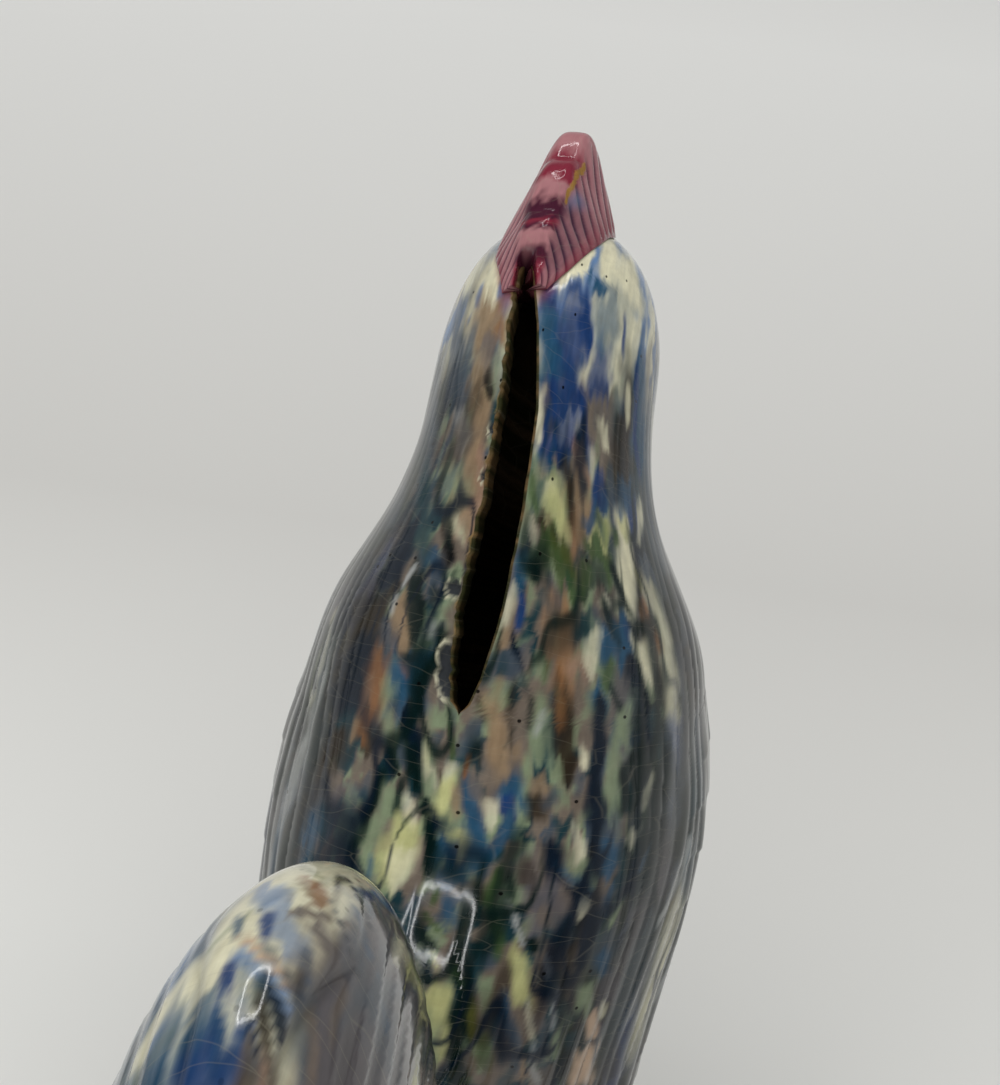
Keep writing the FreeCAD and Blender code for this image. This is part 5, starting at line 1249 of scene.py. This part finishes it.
def post(rows, lift, steps, rounds):
    """Skin of a post: oval sections (height, across, back, half width, half depth) on a
    smooth curve, each point moved out by the lift of its height and turn. Returns the
    points and their turns."""
    turn = np.linspace(0, 2 * np.pi, rounds, endpoint=False)[None] + np.zeros((steps, 1))
    v = curve(np.array(rows), np.linspace(0, len(rows) - 1.0, steps)[:, None])
    z, x, y, half_x, half_y = np.moveaxis(v, -1, 0)
    out = unit(np.stack([np.sin(turn) * half_y, np.cos(turn) * half_x, 0 * turn], -1))
    points = np.stack([x + half_x * np.sin(turn), y + half_y * np.cos(turn), z + 0 * turn], -1)
    return points + out * lift(points[..., 2], turn)[..., None], turn


def grid_normal(points):
    """Directions square to a grid that closes on itself across: the cross product of its
    run down the rows and its run round them."""
    return unit(np.cross(np.gradient(points, axis=0), np.roll(points, -1, 1) - np.roll(points, 1, 1)))


def capped(name, points, turn, colour):
    """Closed mesh of a post: each end is drawn in to its middle over two more rows."""
    def spread_rows(rows):
        """The rows with two more of the first before them and of the last after them."""
        return np.concatenate([rows[:1]] * 2 + [rows] + [rows[-1:]] * 2)

    first = points[:1].mean(axis=1, keepdims=True)
    last = points[-1:].mean(axis=1, keepdims=True)
    shares = (0.0, 0.6)
    top = [first + (points[:1] - first) * share for share in shares]
    low = [last + (points[-1:] - last) * share for share in shares[::-1]]
    points = np.concatenate(top + [points] + low)
    colour, turn = spread_rows(colour), spread_rows(turn)
    normal = grid_normal(points)
    normal *= np.sign(np.einsum("ijk,ijk->", normal, points - points.mean(axis=(0, 1))))
    normal[:2], normal[-2:] = (0, 0, 1.0), (0, 0, -1.0)
    points[0], points[-1] = points[0, 0], points[-1, 0]
    uv = np.stack([turn * 8.0, points[..., 2]], -1)
    return closed_mesh(name, points, normal, uv, {"glaze": colour})


def painted(shades, u, v, size, seed, tone_with_painted_shade):
    """Mottled glaze of the named colours times a factor of painted light and shade, as attribute
    values.
    """
    full = np.zeros(u.shape + (4,))
    full[..., :3] = np.clip(mottle(u, v, shades, size, seed) * tone_with_painted_shade[..., None], 0, 1)
    return full


def thigh_lift(z, turn):
    """Short feathers in staggered rows: each swells from its root to a round tip."""
    row = -z / 4.6 + 0.3 * np.sin(turn)
    across = turn * 9.0 / 4.2 + 0.5 * np.floor(row)
    tip = (row - np.floor(row)) * (1.0 - (2.0 * (across - np.floor(across)) - 1.0) ** 2)
    return 0.55 * tip + 0.2 * noise(across * 3.0, row * 1.5, 111)


def leg_lift(z, turn):
    """Scutes: rings 2.3 mm apart, each a swell with a sharp groove, broken at the sides."""
    ring = np.abs(np.sin(np.pi * z / 2.3 + 0.9 * np.sign(np.sin(turn)))) ** 0.45
    seam = 1.0 - np.exp(-((np.abs(np.cos(turn)) / 0.14) ** 2))
    return 0.34 * ring * (0.3 + 0.7 * seam)


def bark_lift(z, turn):
    """Bark: long ridges by a bent noise round the stump, split across by a coarser one."""
    bent = turn * 5.0 + 0.5 * noise(turn * 2.0, z / 9.0, 121)
    ridge = 1.0 - np.abs(noise(bent, z / 14.0, 122)) * 1.6
    return 0.9 * (ridge - 0.5) + 0.4 * noise(turn * 11.0, z / 4.0, 123)


leg_look = glaze_look("glaze_ochre", crazing=0.12, specks=0.6)
stump_look = glaze_look("glaze_brown", crazing=0.12, specks=0.6)
thigh_rows = np.array([
    (74.0, 0, -5.1, 8.8, 9.7), (65.25, 0, -7.3, 10.6, 11.9), (56.5, 0, -7.8, 9.7, 11.4),
    (47.75, 0, -6.4, 7.5, 8.8), (39.0, 0, -4.2, 5.9, 6.4), (36.8, 0, -4.2, 3.6, 4.0)])
leg_rows = np.array([
    (39.4, 0, -4.2, 5.2, 5.2), (35.6, 0, -4.0, 4.8, 4.8), (30.0, 0, -4.9, 3.8, 3.8),
    (21.2, 0, -6.0, 3.7, 3.7), (15.7, 0, -6.3, 3.9, 3.9), (12.2, 0, -6.5, 4.3, 4.3)])
leg_aside = 14.5
thigh_shades = ("slate", "bottle", "cream", "umber", "azure", "shade")
leg_shades = ("ochre", "yellow", "rust", "ochre")
for side_name, side in (("left", 1.0), ("right", -1.0)):
    stand = np.array([0, side * leg_aside, 0, 0, 0])
    skin, turn = post(thigh_rows + stand, thigh_lift, 110, 96)
    # painted light and shade: each short feather is lighter at its raised tip and darker at its root
    tone_with_painted_shade = 0.8 + 0.5 * thigh_lift(skin[..., 2], turn)
    shade = painted(thigh_shades, turn * 9.0, skin[..., 2], 2.4, 131, tone_with_painted_shade)
    thigh = capped(side_name + "_thigh_dressed", sunk(skin), turn, shade)
    dress(thigh, side_name + "_thigh", body_look)
    skin, turn = post(leg_rows + stand, leg_lift, 90, 48)
    # painted shade: the scute grooves are darkened and their swells kept lighter
    tone_with_painted_shade = 0.6 + 1.2 * leg_lift(skin[..., 2], turn)
    shade = painted(leg_shades, turn * 4.0, skin[..., 2], 2.0, 141, tone_with_painted_shade)
    leg = capped(side_name + "_leg_dressed", skin, turn, shade)
    dress(leg, side_name + "_leg", leg_look)

stump_rows = np.array([
    (69.0, 0, -2, 11.2, 15.1), (57.8, 0, -2, 9.9, 13.3), (46.6, 0, -2, 9.4, 12.6),
    (35.4, 0, -2, 9.5, 13.0), (24.2, 0, -2, 10.4, 14.4), (13.0, 0, -2, 13.0, 18.0)])
stump_middle, stump_round = np.array([0.0, -2.0, 0.0]), 12.0
bore_radius, bore_foot, bore_head = 6.0, 13.2, 54.0
skin, turn = post(stump_rows, bark_lift, 130, 140)
skin = sunk(skin)
foot = skin[-1:].copy()
foot[..., 2] = mound_top(np.hypot(foot[..., 0], foot[..., 1])) - 0.8
skin[-12:] += (foot - skin[-1:]) * np.linspace(0, 1, 12)[:, None, None] ** 2
bore_line = np.stack([np.sin(turn[:1]), np.cos(turn[:1]), 0 * turn[:1]], -1)
bore = stump_middle + bore_radius * bore_line
bore_low, bore_top = bore + (0, 0, bore_foot), bore + (0, 0, bore_head)
top_middle = skin[:1].mean(axis=1, keepdims=True)
# loops from the top's middle over the bark and the foot, then up the bore to its end
loops = [top_middle + 0 * foot, top_middle + (skin[:1] - top_middle) * 0.5, skin,
         (foot + bore_low) / 2 - (0, 0, 0.2), bore_low, (bore_low + bore_top) / 2, bore_top,
         bore_top.mean(axis=1, keepdims=True) + 0 * foot]
skin_all = np.concatenate(loops)
turn_all = np.broadcast_to(turn[:1], skin_all.shape[:2])
normal = grid_normal(skin_all)
from_middle = (skin_all - stump_middle) * (1, 1, 0)
normal *= np.sign(np.einsum("ijk,ijk->", normal[2:-5], from_middle[2:-5]))
normal[:2], normal[-6], normal[-1] = (0, 0, 1), (0, 0, -1), (0, 0, -1)
normal[-5:-1] = -unit(from_middle[-5:-1])
# painted shade: the bark's grooves are darkened and its ridges lightened
tone_with_painted_shade = 0.85 + 0.45 * bark_lift(skin_all[..., 2], turn_all)
across = turn_all * stump_round
stump_shades = ("umber", "tan", "rust", "bottle", "umber")
shade = painted(stump_shades, across, skin_all[..., 2], 3.0, 151, tone_with_painted_shade)
shade[-5:, :, 3] = 1.0
uv = np.stack([across, skin_all[..., 2]], -1)
stump = closed_mesh("stump_dressed", skin_all, normal, uv, {"glaze": shade})
dress(stump, "stump", stump_look)


# Face, spurs, feet and base: these keep their plain modelled forms, so each only takes its
# glaze: red on lobes and wattles, ochre on beak, spurs and toes, green and brown on the
# mound, near black on the eyes, and the disc under the base is bare biscuit clay.
def plain_glaze(name, shades, size, rough, crazing):
    """Material by place on the piece: noise picks between three colours, craze lines cross
    them, the same noise gives a slight bump, and the gloss is steady."""
    look = bpy.data.materials.new(name)
    look.use_nodes = True
    tree = look.node_tree
    link = tree.links.new
    bsdf = tree.nodes["Principled BSDF"]
    place = node_of(tree, "ShaderNodeTexCoord")
    blend = node_of(tree, "ShaderNodeTexNoise")
    blend.inputs["Scale"].default_value = 1000.0 / size
    blend.inputs["Detail"].default_value = 5.0
    ramp = node_of(tree, "ShaderNodeValToRGB")
    for at, shade in zip((0.36, 0.50, 0.64), shades):
        stop = ramp.color_ramp.elements.new(at)
        stop.color = srgb(*glazes[shade])
    ramp.color_ramp.elements.remove(ramp.color_ramp.elements[0])
    ramp.color_ramp.elements.remove(ramp.color_ramp.elements[-1])
    cells = node_of(tree, "ShaderNodeTexVoronoi", feature="DISTANCE_TO_EDGE")
    cells.inputs["Scale"].default_value = 340.0
    fade = node_of(tree, "ShaderNodeMapRange")
    fade.inputs["From Max"].default_value = 0.03
    fade.inputs["To Min"].default_value = crazing
    fade.inputs["To Max"].default_value = 0.0
    lines = node_of(tree, "ShaderNodeMix", data_type="RGBA")
    lines.inputs["B"].default_value = srgb(120, 110, 90)
    bump = node_of(tree, "ShaderNodeBump")
    bump.inputs["Strength"].default_value = 0.35
    bump.inputs["Distance"].default_value = 0.0004
    link(place.outputs["Object"], blend.inputs["Vector"])
    link(place.outputs["Object"], cells.inputs["Vector"])
    link(blend.outputs["Fac"], ramp.inputs["Fac"])
    link(cells.outputs["Distance"], fade.inputs["Value"])
    link(fade.outputs[0], lines.inputs["Factor"])
    link(ramp.outputs["Color"], lines.inputs["A"])
    link(lines.outputs["Result"], bsdf.inputs["Base Color"])
    link(blend.outputs["Fac"], bump.inputs["Height"])
    link(bump.outputs[0], bsdf.inputs["Normal"])
    bsdf.inputs["Roughness"].default_value = rough
    return look


plain_looks = (
    (plain_glaze("glaze_red_plain", ("maroon", "crimson", "pink"), 7.0, 0.12, 0.2),
     ("left_ear_lobe", "right_ear_lobe", "left_wattle", "right_wattle")),
    (plain_glaze("glaze_ochre_plain", ("rust", "ochre", "yellow"), 6.0, 0.14, 0.2),
     ("upper_beak", "lower_beak", "left_spur", "right_spur", "left_foot", "right_foot")),
    (plain_glaze("glaze_dark_plain", ("coal", "umber", "coal"), 3.0, 0.08, 0.0),
     ("left_eye", "right_eye")),
    (plain_glaze("glaze_green_plain", ("bottle", "green", "ochre"), 9.0, 0.14, 0.25), ("base_mound",)),
    (plain_glaze("bare_clay_plain", ("clay", "tan", "clay"), 5.0, 0.85, 0.0), ("base_disc",)),
)
for look, node_names in plain_looks:
    for node_name in node_names:
        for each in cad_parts[node_name].material_slots:
            each.material = look
